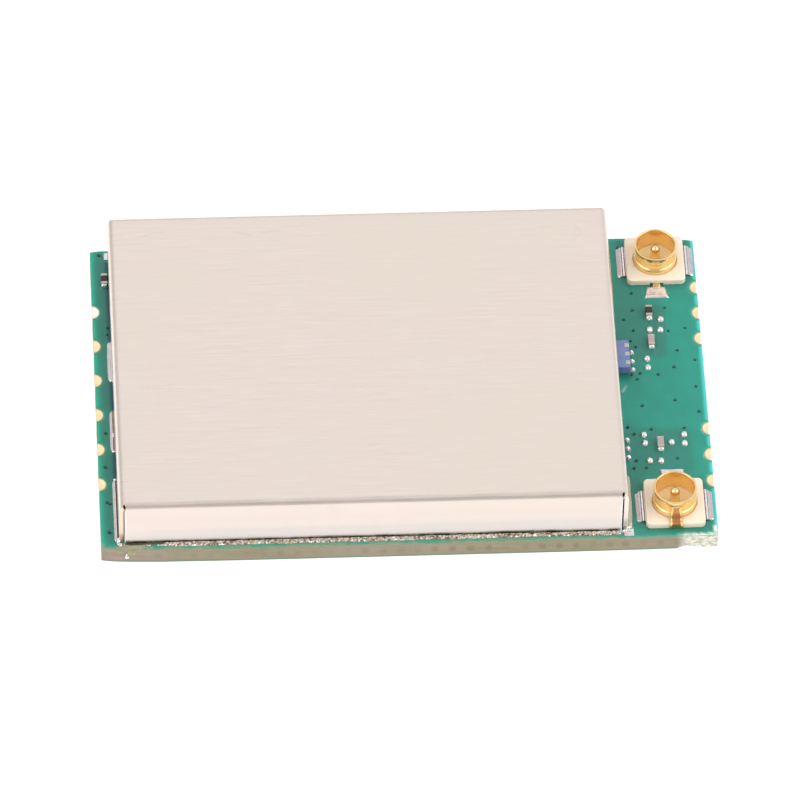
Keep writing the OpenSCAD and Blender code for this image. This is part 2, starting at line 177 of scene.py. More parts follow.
def edge_dist(poly, pts):
    """Distance of pts (n, 2) to a closed polygon's outline."""
    poly, pts = np.asarray(poly, float), np.asarray(pts, float)
    best = np.full(len(pts), 1e9)
    for i in range(len(poly)):
        a, b = poly[i], poly[(i + 1) % len(poly)]
        d = b - a
        t = np.clip(((pts - a) @ d) / max(d @ d, 1e-12), 0, 1)
        best = np.minimum(best, np.linalg.norm(pts - a - t[:, None] * d, axis=1))
    return best


def cdt(loops, pts, keep):
    """Triangulates loops and loose points, and keeps the triangles whose middles pass keep."""
    verts, edges = [], []
    for loop in loops:
        n0 = len(verts)
        verts += [Vector((float(p[0]), float(p[1]))) for p in loop]
        edges += [(n0 + i, n0 + (i + 1) % len(loop)) for i in range(len(loop))]
    verts += [Vector((float(p[0]), float(p[1]))) for p in pts]
    out = delaunay_2d_cdt(verts, edges, [], 0, 1e-6)
    v = np.array([(p.x, p.y) for p in out[0]])
    f = np.array([tuple(t) for t in out[2]])
    return v, f[keep(v[f].mean(1))]


def rim(faces):
    """Directed outline edges of a set of triangles."""
    seen = set()
    for t in faces:
        for a, b in ((t[0], t[1]), (t[1], t[2]), (t[2], t[0])):
            seen.add((int(a), int(b)))
    return [(a, b) for a, b in seen if (b, a) not in seen]


def ring_pts(cx, cy, r, n, turn=0.0):
    return [
        (cx + r * math.cos(2 * math.pi * (i + turn) / n), cy + r * math.sin(2 * math.pi * (i + turn) / n))
        for i in range(n)
    ]


def rbox(lo, hi, r, k=2):
    """A box with rounded edges and corners."""
    lo, hi = np.array(lo, float), np.array(hi, float)
    c, h = (lo + hi) / 2, (hi - lo) / 2
    r = min(r, *(h * 0.98))
    core = h - r
    arc = [i / k for i in range(-k, 1)]
    line = [(a, -1) for a in arc] + [(-a, 1) for a in arc[::-1]]
    v, f = [], []
    for axis in range(3):
        u, w = (axis + 1) % 3, (axis + 2) % 3
        for s in (-1, 1):
            n0 = len(v)
            for au, su in line:
                for aw, sw in line:
                    d = np.zeros(3)
                    d[axis] = s
                    d[u] = math.tan(math.pi / 4 * au)
                    d[w] = math.tan(math.pi / 4 * aw)
                    d /= np.linalg.norm(d)
                    p = np.zeros(3)
                    p[axis], p[u], p[w] = s * core[axis], su * core[u], sw * core[w]
                    v.append(tuple(c + p + r * d))
            n = len(line)
            for i in range(n - 1):
                for j in range(n - 1):
                    a = n0 + i * n + j
                    quad = (a, a + n, a + n + 1, a + 1)
                    f.append(quad if s > 0 else quad[::-1])
    return v, f


def lathe(profile, cx, cy, z0, seg=96, closed=True):
    """Turns a closed (r, z) loop round a vertical axis; a point at r = 0 is a pole."""
    v, f, rows = [], [], []
    for r, z in profile:
        if r < 1e-9:
            rows.append([len(v)])
            v.append((cx, cy, z0 + z))
        else:
            n0 = len(v)
            for i in range(seg):
                a = 2 * math.pi * i / seg
                v.append((cx + r * math.cos(a), cy + r * math.sin(a), z0 + z))
            rows.append(list(range(n0, n0 + seg)))
    n = len(rows)
    for k in range(n if closed else n - 1):
        a, b = rows[k], rows[(k + 1) % n]
        if len(a) == 1 and len(b) == 1:
            continue
        for i in range(seg):
            j = (i + 1) % seg
            if len(a) == 1:
                f.append((a[0], b[i], b[j]))
            elif len(b) == 1:
                f.append((a[i], b[0], a[j]))
            else:
                f.append((a[i], b[i], b[j], a[j]))
    return v, f


def dome(cx, cy, z0, rx, ry, h, power=2.4, seed=0.0, amp=0.06, square=2.0, n=28, k=7, dip=0.0):
    """A closed drop of solder on a flat face."""
    v, f = [], []
    rows = []
    for j in range(k):
        t = math.cos(math.pi / 2 * j / k)
        z = h * (1 - t**power) ** (1 / power)
        row = []
        for i in range(n):
            a = 2 * math.pi * i / n
            ca, sa = math.cos(a), math.sin(a)
            q = (abs(ca) ** square + abs(sa) ** square) ** (-1 / square)
            wob = 1 + amp * fbm(ca * 1.3, sa * 1.3, z / max(h, 1e-6), 2, seed)
            x, y = rx * t * q * ca * wob, ry * t * q * sa * wob
            zz = z * (1 + amp * 1.5 * fbm(x / rx, y / ry, 0.3, 2, seed + 5))
            if dip:
                zz -= dip * h * math.exp(-((x / rx) ** 2 + (y / ry) ** 2) * 6) * (z / h)
            row.append(len(v))
            v.append((cx + x, cy + y, z0 + (zz if j else -0.004)))
        rows.append(row)
    top = len(v)
    v.append((cx, cy, z0 + h * (1 - dip)))
    foot = len(v)
    v.append((cx, cy, z0 - 0.004))
    for j in range(k - 1):
        a, b = rows[j], rows[j + 1]
        for i in range(n):
            m = (i + 1) % n
            f.append((a[i], a[m], b[m], b[i]))
    for i in range(n):
        m = (i + 1) % n
        f.append((rows[-1][i], rows[-1][m], top))
        f.append((rows[0][m], rows[0][i], foot))
    return v, f


def bead(p0, p1, out, reach, rise, z0, seed, step=0.06, k=8, grain=0.03, wave=0.28, concave=0.45, taper=0.18, sink=0.015):
    """A closed fillet of solder along a wall, from p0 to p1, reaching towards out."""
    p0, p1, out = np.array(p0, float), np.array(p1, float), np.array(out, float)
    d = p1 - p0
    length = float(np.linalg.norm(d))
    d /= length
    n = max(6, int(length / step))
    v, f, rows = [], [], []
    for i in range(n + 1):
        s = length * i / n
        end = min(1.0, math.sqrt(max(1e-4, min(s, length - s) / taper)))
        end = max(end, 0.05)
        big = 1 + 0.22 * fbm(s / 0.9, 0.0, 0.0, 2, seed)
        row = []
        base = p0 + d * s
        for j in range(k + 1):
            a = j / k * math.pi / 2
            cx, cz = math.cos(a), math.sin(a)
            vx, vz = 1 - math.sin(a), 1 - math.cos(a)
            o = reach * end * big * ((1 - concave) * cx + concave * vx)
            z = rise * end * big * ((1 - concave) * cz + concave * vz)
            if 0 < j < k:
                g = grain * end * (fbm(s / wave, o / wave, z / wave, 3, seed + 2) * 1.6)
                o += g * 0.7
                z += g
            elif j == 0:
                o += grain * 0.8 * end * fbm(s / wave, 3.3, 0, 2, seed + 4)
            q = base + out * max(o, 0.004)
            row.append(len(v))
            v.append((q[0], q[1], z0 + max(z, 0.0) - (0.004 if j == 0 else 0)))
        q = base - out * sink
        row.append(len(v))
        v.append((q[0], q[1], z0 + max(rise * end * big, 0.002)))
        row.append(len(v))
        v.append((q[0], q[1], z0 - 0.004))
        rows.append(row)
    m = len(rows[0])
    for i in range(n):
        a, b = rows[i], rows[i + 1]
        for j in range(m):
            jj = (j + 1) % m
            f.append((a[j], b[j], b[jj], a[jj]))
    f.append(tuple(rows[0]))
    f.append(tuple(rows[-1][::-1]))
    return v, f


# ------------------------------------------------------------------ materials


def principled(name):
    m = bpy.data.materials.new(name)
    m.use_nodes = True
    nt = m.node_tree
    nt.nodes.clear()
    out = nt.nodes.new("ShaderNodeOutputMaterial")
    bs = nt.nodes.new("ShaderNodeBsdfPrincipled")
    nt.links.new(bs.outputs[0], out.inputs[0])
    tc = nt.nodes.new("ShaderNodeTexCoord")
    return m, nt, bs, tc.outputs["Object"]


def mapped(nt, vec, scale=(1000, 1000, 1000), turn=(0, 0, 0), loc=(0, 0, 0)):
    mp = nt.nodes.new("ShaderNodeMapping")
    mp.inputs["Scale"].default_value = scale
    mp.inputs["Rotation"].default_value = turn
    mp.inputs["Location"].default_value = loc
    nt.links.new(vec, mp.inputs["Vector"])
    return mp.outputs[0]


def noise_fac(nt, vec, scale, detail=3.0, rough=0.5, distort=0.0):
    n = nt.nodes.new("ShaderNodeTexNoise")
    n.inputs["Scale"].default_value = scale
    n.inputs["Detail"].default_value = detail
    n.inputs["Roughness"].default_value = rough
    n.inputs["Distortion"].default_value = distort
    nt.links.new(vec, n.inputs["Vector"])
    return n.outputs["Fac"]


def math_node(nt, op, a, b=None, clamp=False):
    n = nt.nodes.new("ShaderNodeMath")
    n.operation = op
    n.use_clamp = clamp
    for i, x in enumerate((a, b)):
        if x is None:
            continue
        if isinstance(x, (int, float)):
            n.inputs[i].default_value = x
        else:
            nt.links.new(x, n.inputs[i])
    return n.outputs[0]


def ranged(nt, fac, a, b, lo=0.0, hi=1.0, soft=True):
    n = nt.nodes.new("ShaderNodeMapRange")
    n.interpolation_type = "SMOOTHSTEP" if soft else "LINEAR"
    for key, x in (("From Min", a), ("From Max", b), ("To Min", lo), ("To Max", hi)):
        n.inputs[key].default_value = x
    nt.links.new(fac, n.inputs["Value"])
    return n.outputs[0]


def ramp(nt, fac, stops):
    n = nt.nodes.new("ShaderNodeValToRGB")
    el = n.color_ramp.elements
    while len(el) > 1:
        el.remove(el[-1])
    el[0].position, el[0].color = stops[0][0], (*stops[0][1], 1)
    for p, c in stops[1:]:
        e = el.new(p)
        e.color = (*c, 1)
    nt.links.new(fac, n.inputs[0])
    return n.outputs[0]


def mix(nt, fac, a, b, kind="MIX"):
    n = nt.nodes.new("ShaderNodeMix")
    n.data_type = "RGBA"
    n.blend_type = kind
    if isinstance(fac, (int, float)):
        n.inputs[0].default_value = fac
    else:
        nt.links.new(fac, n.inputs[0])
    for i, x in ((6, a), (7, b)):
        if isinstance(x, tuple):
            n.inputs[i].default_value = (*x, 1) if len(x) == 3 else x
        else:
            nt.links.new(x, n.inputs[i])
    return n.outputs[2]


def bumped(nt, bs, height, dist, strength=1.0, under=None):
    n = nt.nodes.new("ShaderNodeBump")
    n.inputs["Distance"].default_value = dist
    n.inputs["Strength"].default_value = strength
    nt.links.new(height, n.inputs["Height"])
    if under is not None:
        nt.links.new(under, n.inputs["Normal"])
    nt.links.new(n.outputs[0], bs.inputs["Normal"])
    return n.outputs[0]


def attr(nt, name):
    n = nt.nodes.new("ShaderNodeAttribute")
    n.attribute_name = name
    return n.outputs["Fac"]


def scaled(c, k):
    return tuple(min(1.0, x * k) for x in c)


def plain_material(name, colour, rough, metal=0.0, spread=0.1, grain=8.0, bump=0.002, spec=0.5, coat=0.0, tint=None):
    """A material with mottled colour, uneven gloss and a fine relief. Sizes are in millimetres."""
    m, nt, bs, vec = principled(name)
    mm = mapped(nt, vec)
    fac = noise_fac(nt, mm, grain, 4, 0.6)
    fac2 = noise_fac(nt, mm, grain * 0.22, 3, 0.5)
    lo = scaled(colour, 1 - spread)
    hi = scaled(colour, 1 + spread)
    col = ramp(nt, fac, [(0.3, lo), (0.7, hi)])
    if tint:
        col = mix(nt, ranged(nt, fac2, 0.42, 0.62, 0.0, 0.6), col, tint)
    nt.links.new(col, bs.inputs["Base Color"])
    nt.links.new(ranged(nt, fac2, 0.3, 0.7, max(0.03, rough - 0.05), rough + 0.06), bs.inputs["Roughness"])
    bs.inputs["Metallic"].default_value = metal
    bs.inputs["Specular IOR Level"].default_value = spec
    if coat:
        bs.inputs["Coat Weight"].default_value = coat
        bs.inputs["Coat Roughness"].default_value = 0.12
    if bump:
        bumped(nt, bs, fac, bump * 0.001)
    return m


MASK_OPEN = (0.012, 0.270, 0.197)
MASK_DARK = (0.030, 0.175, 0.134)
MASK_VIA = (0.002, 0.040, 0.030)
MASK_RIM = (0.022, 0.430, 0.270)
MASK_CYAN = (0.060, 0.640, 0.580)
MASK_PALE = (0.23, 0.32, 0.20)


def mask_material():
    m, nt, bs, vec = principled("green_mask")
    mm = mapped(nt, vec)
    soft = noise_fac(nt, mm, 0.9, 2, 0.5)
    fine = noise_fac(nt, mm, 14, 3, 0.6)
    open_col = mix(nt, ranged(nt, soft, 0.35, 0.7), MASK_OPEN, scaled(MASK_OPEN, 1.1))
    col = mix(nt, attr(nt, "dark"), open_col, MASK_DARK)
    rim_col = mix(nt, attr(nt, "cyan"), MASK_RIM, MASK_CYAN)
    col = mix(nt, attr(nt, "rimlight"), col, rim_col)
    col = mix(nt, attr(nt, "pale"), col, mix(nt, ranged(nt, fine, 0.42, 0.6, 0.0, 0.5), MASK_PALE, (0.05, 0.24, 0.14)))
    col = mix(nt, attr(nt, "bare"), col, mix(nt, ranged(nt, fine, 0.4, 0.6), (0.31, 0.29, 0.19), (0.40, 0.36, 0.25)))
    # painted shade: the mask beside the left wall's arches is darkened
    col = mix(nt, attr(nt, "navy"), col, (0.010, 0.055, 0.100))
    col = mix(nt, attr(nt, "frost"), col, mix(nt, ranged(nt, noise_fac(nt, mm, 4.2, 3, 0.6), 0.4, 0.6), (0.40, 0.62, 0.50), (0.90, 0.90, 0.80)))
    col = mix(nt, attr(nt, "via"), col, MASK_VIA)
    col = mix(nt, attr(nt, "scratch"), col, (0.25, 0.5, 0.42))
    nt.links.new(col, bs.inputs["Base Color"])
    nt.links.new(ranged(nt, fine, 0.3, 0.7, 0.3, 0.38), bs.inputs["Roughness"])
    bs.inputs["IOR"].default_value = 1.5
    bumped(nt, bs, fine, 0.0000012)
    return m


def laminate_material():
    m, nt, bs, vec = principled("glass_laminate_edge")
    mm = mapped(nt, vec)
    # layers of cloth: faint bands in height, and the darker ends of the bundles that run front to back
    layers = noise_fac(nt, mapped(nt, vec, (500, 500, 7000)), 1.0, 3, 0.6)
    drift = noise_fac(nt, mapped(nt, vec, (260, 260, 260), (0, 0, 0), (4, 1, 2)), 1.0, 2, 0.5)
    grit = noise_fac(nt, mm, 13, 4, 0.65)
    sep = nt.nodes.new("ShaderNodeSeparateXYZ")
    nt.links.new(vec, sep.inputs[0])
    phase = math_node(nt, "MULTIPLY", sep.outputs[0], 2 * math.pi / 0.000757)
    phase = math_node(nt, "ADD", phase, math_node(nt, "MULTIPLY", drift, 5.0))
    wave = math_node(nt, "COSINE", math_node(nt, "ADD", phase, 0.6))
    band = math_node(nt, "MULTIPLY", ranged(nt, sep.outputs[2], 0.00014, 0.00034), ranged(nt, sep.outputs[2], 0.00072, 0.00048))
    faint = noise_fac(nt, mapped(nt, vec, (420, 420, 420), (0, 0, 0), (7, 3, 1)), 1.0, 2, 0.5)
    bundle = math_node(nt, "MULTIPLY", ranged(nt, wave, -0.2, 0.95), band)
    bundle = math_node(nt, "MULTIPLY", bundle, ranged(nt, grit, 0.25, 0.6, 0.3, 0.8))
    bundle = math_node(nt, "MULTIPLY", bundle, ranged(nt, faint, 0.36, 0.62, 0.2, 1.0))
    col = ramp(nt, layers, [(0.28, (0.300, 0.258, 0.155)), (0.5, (0.328, 0.286, 0.176)), (0.75, (0.366, 0.322, 0.202))])
    col = mix(nt, ranged(nt, drift, 0.45, 0.66, 0.0, 0.6), col, (0.39, 0.315, 0.24))
    col = mix(nt, bundle, col, (0.24, 0.19, 0.13))
    col = mix(nt, ranged(nt, grit, 0.66, 0.76, 0.0, 0.25), col, (0.62, 0.6, 0.5))
    col = mix(nt, attr(nt, "pink"), col, mix(nt, ranged(nt, layers, 0.4, 0.62), (0.43, 0.32, 0.265), (0.37, 0.285, 0.22)))
    col = mix(nt, attr(nt, "lowline"), col, (0.15, 0.265, 0.185))
    shard = noise_fac(nt, mapped(nt, vec, (3600, 3600, 6500)), 1.0, 3, 0.6)
    col = mix(nt, attr(nt, "broken"), col, mix(nt, ranged(nt, shard, 0.38, 0.62), (0.56, 0.55, 0.41), (0.95, 0.92, 0.80)))
    nt.links.new(col, bs.inputs["Base Color"])
    bs.inputs["Roughness"].default_value = 0.62
    bumped(nt, bs, grit, 0.00001)
    return m


def can_material():
    m, nt, bs, vec = principled("brushed_sheet")
    # brush lines run along X on the top and round the folds of the long walls
    lines = noise_fac(nt, mapped(nt, vec, (330, 7500, 330), (0, 0, 0.02)), 1.0, 3, 0.6)
    short = noise_fac(nt, mapped(nt, vec, (900, 9500, 900), (0, 0, -0.03), (3, 5, 1)), 1.0, 2, 0.6)
    cloud = noise_fac(nt, mapped(nt, vec, (160, 160, 160)), 1.0, 3, 0.5)
    cloud2 = noise_fac(nt, mapped(nt, vec, (700, 1000, 700), (0, 0, 0), (9, 2, 4)), 1.0, 2, 0.5)
    both = math_node(nt, "ADD", math_node(nt, "MULTIPLY", lines, 0.6), math_node(nt, "MULTIPLY", short, 0.4))
    col = ramp(nt, both, [(0.30, (0.825, 0.715, 0.650)), (0.70, (0.930, 0.817, 0.752))])
    col = mix(nt, ranged(nt, cloud2, 0.40, 0.66, 0.0, 0.55), col, (0.878, 0.744, 0.690))
    col = mix(nt, ranged(nt, cloud, 0.42, 0.62, 0.0, 0.55), col, (0.866, 0.776, 0.684))
    col = mix(nt, attr(nt, "scuff"), col, (0.66, 0.57, 0.52))
    # a dark band at the front wall's foot: part flux stain, part painted contact shadow
    foot_flux_and_shade = noise_fac(nt, mapped(nt, vec, (2600, 2600, 2600)), 1.0, 3, 0.6)
    foot = math_node(nt, "MULTIPLY", attr(nt, "foot"), ranged(nt, foot_flux_and_shade, 0.25, 0.6, 0.75, 1.0))
    col = mix(nt, foot, col, mix(nt, ranged(nt, foot_flux_and_shade, 0.42, 0.62), (0.17, 0.155, 0.125), (0.10, 0.08, 0.055)))
    col = mix(nt, math_node(nt, "MULTIPLY", attr(nt, "upper"), 0.5), col, (0.80, 0.69, 0.63))
    # painted reflection: the lower part of the front wall is made matt and pale, standing in for the bright floor it
    # faces
    floor_reflection_paint = math_node(nt, "MULTIPLY", attr(nt, "low"), math_node(nt, "SUBTRACT", 1.0, foot))
    col = mix(nt, math_node(nt, "MULTIPLY", floor_reflection_paint, 0.9), col, (1.0, 0.895, 0.865))
    # painted highlight: the cut edges beside the slits are painted near white and made less metallic
    col = mix(nt, attr(nt, "cutedge"), col, (1.0, 0.98, 0.97))
    col = mix(nt, attr(nt, "tan"), col, (0.90, 0.70, 0.54))
    nt.links.new(col, bs.inputs["Base Color"])
    metal = math_node(nt, "SUBTRACT", 1.0, math_node(nt, "MULTIPLY", floor_reflection_paint, 0.88))
    metal = math_node(nt, "SUBTRACT", metal, math_node(nt, "MULTIPLY", attr(nt, "cutedge"), 0.6), clamp=True)
    nt.links.new(metal, bs.inputs["Metallic"])
    nt.links.new(ranged(nt, both, 0.3, 0.7, 0.27, 0.33), bs.inputs["Roughness"])
    bumped(nt, bs, both, 0.0000016)
    return m


def gold_material(name, colour, rough, rimcol=None, bump=0.003, grain=7.0):
    m, nt, bs, vec = principled(name)
    mm = mapped(nt, vec)
    fac = noise_fac(nt, mm, grain, 4, 0.6)
    slow = noise_fac(nt, mm, 1.6, 2, 0.5)
    col = ramp(nt, fac, [(0.3, scaled(colour, 0.93)), (0.7, scaled(colour, 1.05))])
    col = mix(nt, ranged(nt, slow, 0.4, 0.65, 0.0, 0.5), col, (min(1, colour[0] * 1.02), colour[1] * 0.95, colour[2] * 0.85))
    if rimcol:
        # painted highlight: one contact's lining is painted near white, standing in for glare
        col = mix(nt, attr(nt, "white"), col, (1.0, 0.99, 0.96))
        col = mix(nt, attr(nt, "rimcol"), col, rimcol)
    nt.links.new(col, bs.inputs["Base Color"])
    bs.inputs["Metallic"].default_value = 1.0
    nt.links.new(ranged(nt, slow, 0.3, 0.7, rough - 0.03, rough + 0.05), bs.inputs["Roughness"])
    bumped(nt, bs, fac, bump * 0.001)
    return m


def solder_material(name, colour, rough=0.2, bump=0.006, dirt=0.5, grains=False):
    m, nt, bs, vec = principled(name)
    mm = mapped(nt, vec)
    fac = noise_fac(nt, mm, 9, 4, 0.6)
    slow = noise_fac(nt, mapped(nt, vec, (1000, 1000, 1000), (0, 0, 0), (2, 7, 3)), 3.2, 3, 0.6)
    col = ramp(nt, fac, [(0.32, scaled(colour, 0.9)), (0.7, scaled(colour, 1.08))])
    if dirt:
        col = mix(nt, ranged(nt, slow, 0.5, 0.68, 0.0, dirt), col, (0.45, 0.34, 0.22))
    if grains:
        # frozen paste: bright balls, some tan and some near-black, each darker towards its edge
        cell = nt.nodes.new("ShaderNodeTexVoronoi")
        cell.inputs["Scale"].default_value = 1.0
        nt.links.new(mapped(nt, vec, (11000, 11000, 11000), (0, 0, 0), (1, 3, 5)), cell.inputs["Vector"])
        pick = nt.nodes.new("ShaderNodeSeparateColor")
        nt.links.new(cell.outputs["Color"], pick.inputs[0])
        gap = ranged(nt, cell.outputs["Distance"], 0.42, 0.75)
        patch = ranged(nt, slow, 0.40, 0.62)
        tan = math_node(nt, "MULTIPLY", ranged(nt, pick.outputs[0], 0.35, 0.6), math_node(nt, "ADD", math_node(nt, "MULTIPLY", patch, 0.6), 0.35))
        col = mix(nt, tan, col, (0.70, 0.58, 0.40))
        dark = math_node(nt, "MULTIPLY", ranged(nt, pick.outputs[1], 0.7, 0.92), 0.8)
        col = mix(nt, dark, col, (0.13, 0.09, 0.06))
        col = mix(nt, math_node(nt, "MULTIPLY", gap, 0.6), col, (0.20, 0.14, 0.09))
    nt.links.new(col, bs.inputs["Base Color"])
    bs.inputs["Metallic"].default_value = 1.0
    nt.links.new(ranged(nt, slow, 0.35, 0.7, rough - 0.04, rough + 0.1), bs.inputs["Roughness"])
    if bump:
        bumped(nt, bs, fac, bump * 0.001)
    return m


def insulator_material():
    m, nt, bs, vec = principled("cream_moulding")
    mm = mapped(nt, vec)
    fac = noise_fac(nt, mm, 12, 4, 0.6)
    slow = noise_fac(nt, mm, 0.9, 2, 0.5)
    col = ramp(nt, slow, [(0.3, (0.965, 0.815, 0.63)), (0.7, (0.975, 0.835, 0.675))])
    col = mix(nt, ranged(nt, fac, 0.45, 0.6, 0.0, 0.25), col, (0.98, 0.85, 0.70))
    # painted bounce light: the well floor is tinted orange as if lit by the gold shell
    col = mix(nt, attr(nt, "warm"), col, (1.0, 0.80, 0.50))
    nt.links.new(col, bs.inputs["Base Color"])
    bs.inputs["Roughness"].default_value = 0.42
    bs.inputs["Subsurface Weight"].default_value = 0.15
    bs.inputs["Subsurface Radius"].default_value = (0.0004, 0.00025, 0.00015)
    bs.inputs["Subsurface Scale"].default_value = 1.0
    bumped(nt, bs, fac, 0.000002)
    return m


mat_mask = mask_material()
mat_lam = laminate_material()
mat_can = can_material()
mat_edge_gold = gold_material("contact_plating", (1.0, 0.86, 0.52), 0.34, rimcol=(0.34, 0.20, 0.08))
mat_gold = gold_material("socket_plating", (1.0, 0.69, 0.31), 0.2, bump=0.0005)
mat_pin = gold_material("pin_plating", (1.0, 0.74, 0.38), 0.16, bump=0.0005)
mat_gold_dark = gold_material("strap_channel", (0.62, 0.28, 0.10), 0.28, bump=0.004, grain=5.0)
mat_solder = solder_material("grainy_solder", (0.88, 0.85, 0.80), 0.2, 0.008, 0.0, grains=True)
mat_land = solder_material("land_solder", (0.58, 0.53, 0.40), 0.34, 0.003, 0.25)
mat_pale = solder_material("pale_solder", (0.90, 0.87, 0.84), 0.2, 0.004, 0.15)
mat_pad = solder_material("pad_solder", (0.95, 0.95, 0.95), 0.13, 0.002, 0.0)
mat_joint = solder_material("joint_solder", (0.86, 0.80, 0.84), 0.34, 0.0, 0.0)
mat_tab = solder_material("tab_tin", (0.70, 0.64, 0.66), 0.28, 0.0, 0.0)
# a brighter copy of tab_tin, used as a painted highlight on the middle strip of each tab
mat_tab_tin_highlight = solder_material("tab_tin_painted_highlight", (0.92, 0.89, 0.90), 0.2, 0.0, 0.0)
mat_resin = plain_material("resin_drip", (0.39, 0.37, 0.19), 0.35, spread=0.15, grain=9, bump=0.002)
mat_brown = plain_material("burnt_flux", (0.30, 0.19, 0.13), 0.45, spread=0.25, grain=7, bump=0.002)
# dark line where solder meets a wall, and between tab strips: part flux, part painted contact shadow
mat_flux_shade = plain_material("flux_and_contact_shadow", (0.05, 0.04, 0.025), 0.5, spread=0.4, grain=9, bump=0.004, tint=(0.13, 0.09, 0.05))
mat_gap = plain_material("gap_shadow", (0.012, 0.008, 0.008), 0.6, spread=0.3, grain=9, bump=0.0, spec=0.1)
mat_cream = insulator_material()
mat_blue = plain_material("filter_ceramic", (0.15, 0.24, 0.50), 0.30, spread=0.12, grain=6, bump=0.002, tint=(0.24, 0.25, 0.45))
mat_dot = plain_material("filter_mark", (0.012, 0.015, 0.05), 0.4, spread=0.2, grain=10, bump=0.001)
mat_term = plain_material("end_terminal", (0.62, 0.56, 0.50), 0.3, metal=1.0, spread=0.12, grain=9, bump=0.003)
mat_black = plain_material("inductor_body", (0.022, 0.018, 0.017), 0.35, spread=0.25, grain=12, bump=0.003)
mat_mauve = plain_material("capacitor_body", (0.46, 0.37, 0.39), 0.38, spread=0.1, grain=10, bump=0.002)
mat_inner = {
    "chip_mould": plain_material("mould_black", (0.025, 0.025, 0.028), 0.5, spread=0.3, grain=14, bump=0.004),
    "crystal_can": plain_material("crystal_lid", (0.72, 0.68, 0.60), 0.3, metal=0.9, spread=0.06, grain=5, bump=0.001),
    "power_ferrite": plain_material("ferrite_grey", (0.11, 0.10, 0.095), 0.6, spread=0.2, grain=9, bump=0.006),
    "bead_ferrite": plain_material("ferrite_bead", (0.16, 0.15, 0.14), 0.55, spread=0.15, grain=10, bump=0.004),
    "capacitor_ceramic": plain_material("capacitor_tan", (0.45, 0.33, 0.22), 0.45, spread=0.1, grain=9, bump=0.003),
    "resistor_film": plain_material("resistor_black", (0.04, 0.04, 0.045), 0.4, spread=0.2, grain=9, bump=0.002),
    "inductor_blue": plain_material("inductor_blue_body", (0.10, 0.16, 0.36), 0.4, spread=0.1, grain=9, bump=0.003),
    "balun_ceramic": plain_material("balun_body", (0.12, 0.20, 0.42), 0.4, spread=0.1, grain=8, bump=0.003),
    "solder": mat_solder,
    "contact_gold": mat_edge_gold,
}

# ------------------------------------------------------------------ camera
cam_data = bpy.data.cameras.new("photo_camera")
cam = bpy.data.objects.new("photo_camera", cam_data)
bpy.context.scene.collection.objects.link(cam)
cam_data.sensor_width = 36.0
cam_data.lens = 476.7865
cam_data.clip_start = 0.01
cam_data.clip_end = 20.0
r0 = Vector((0.998652, -0.048654, 0.018098))
r1 = Vector((-0.025222, -0.759489, -0.650031))
r2 = Vector((0.045372, 0.648698, -0.759693))
rot = Matrix((r0, -r1, -r2)).transposed().to_4x4()
cam.matrix_world = Matrix.Translation(Vector((-0.0212947, -0.3040443, 0.3563398))) @ rot
bpy.context.scene.camera = cam
bpy.context.scene.view_settings.view_transform = "Standard"
bpy.context.scene.view_settings.look = "None"

# ------------------------------------------------------------------ board
contacts = {}
for node in ("edge_contacts_left", "edge_contacts_right_front", "edge_contacts_right_rear"):
    contacts[node] = []
    for lo, hi in islands(node):
        ring = (hi[1] - lo[1]) / 2
        contacts[node].append(((lo[1] + hi[1]) / 2, ring))
# each half hole centres 0.05 mm outside the edge, and its ring is 0.04 mm wide
OUT = 0.05
ring_r = math.hypot(contacts["edge_contacts_left"][0][1], OUT)
hole_r = ring_r - 0.04
lining_r = hole_r - 0.05
left_ys = sorted(c[0] for c in contacts["edge_contacts_left"])
right_ys = sorted(c[0] for c in contacts["edge_contacts_right_front"] + contacts["edge_contacts_right_rear"])

can_lo, can_hi = corner("shield_can")
CX0, CY0, CZ1 = can_lo[0], can_lo[1], can_hi[2]
CX1, CY1 = can_hi[0], can_hi[1]
rs_lo, rs_hi = corner("rear_socket_insulator")
fs_lo, fs_hi = corner("front_socket_insulator")
RS = ((rs_lo[0] + rs_hi[0]) / 2, (rs_lo[1] + rs_hi[1]) / 2)
FS = ((fs_lo[0] + fs_hi[0]) / 2, (fs_lo[1] + fs_hi[1]) / 2)

base_outline = [
    (0, 0.2), (0.5, 0.12), (1.3, 0.07), (2.5, 0.03), (6, 0.0), (20, 0.0),
    (BW - 3, 0.02), (BW - 1.7, 0.04), (BW - 1.4, 0.06), (BW - 1.1, 0.04), (BW - 0.7, 0.05), (BW - 0.06, 0.06), (BW, 0.12),
]
back_outline = [
    (BW, BD - 0.24), (BW - 0.3, BD - 0.18), (BW - 1.2, BD - 0.06), (BW - 3.4, BD), (0.4, BD), (0, BD - 0.06),
]


def resample(a, b, step):
    n = max(1, int(round(math.dist(a, b) / step)))
    return [(a[0] + (b[0] - a[0]) * i / n, a[1] + (b[1] - a[1]) * i / n) for i in range(n)]


def board_loop():
    pts = []
    for a, b in zip(base_outline[:-1], base_outline[1:]):
        pts += resample(a, b, 0.06 if a[0] > BW - 3.1 else 0.2)
    y = base_outline[-1][1]
    last = (BW, y)
    for c in right_ys:
        t0 = math.acos(OUT / hole_r)
        half = hole_r * math.sin(t0)
        pts += resample(last, (BW, c - half), 0.12)
        pts += [(BW + OUT - hole_r * math.cos(t), c + hole_r * math.sin(t)) for t in np.linspace(-t0, t0, 25)[:-1]]
        last = (BW, c + half)
    pts += resample(last, back_outline[0], 0.12)
    for a, b in zip(back_outline[:-1], back_outline[1:]):
        pts += resample(a, b, 0.2)
    last = back_outline[-1]
    for c in left_ys[::-1]:
        t0 = math.acos(OUT / hole_r)
        half = hole_r * math.sin(t0)
        pts += resample(last, (0, c + half), 0.12)
        pts += [(hole_r * math.cos(t) - OUT, c + hole_r * math.sin(t)) for t in np.linspace(t0, -t0, 25)[:-1]]
        last = (0, c - half)
    pts += resample(last, base_outline[0], 0.12)
    return np.array(pts)


loop = board_loop()


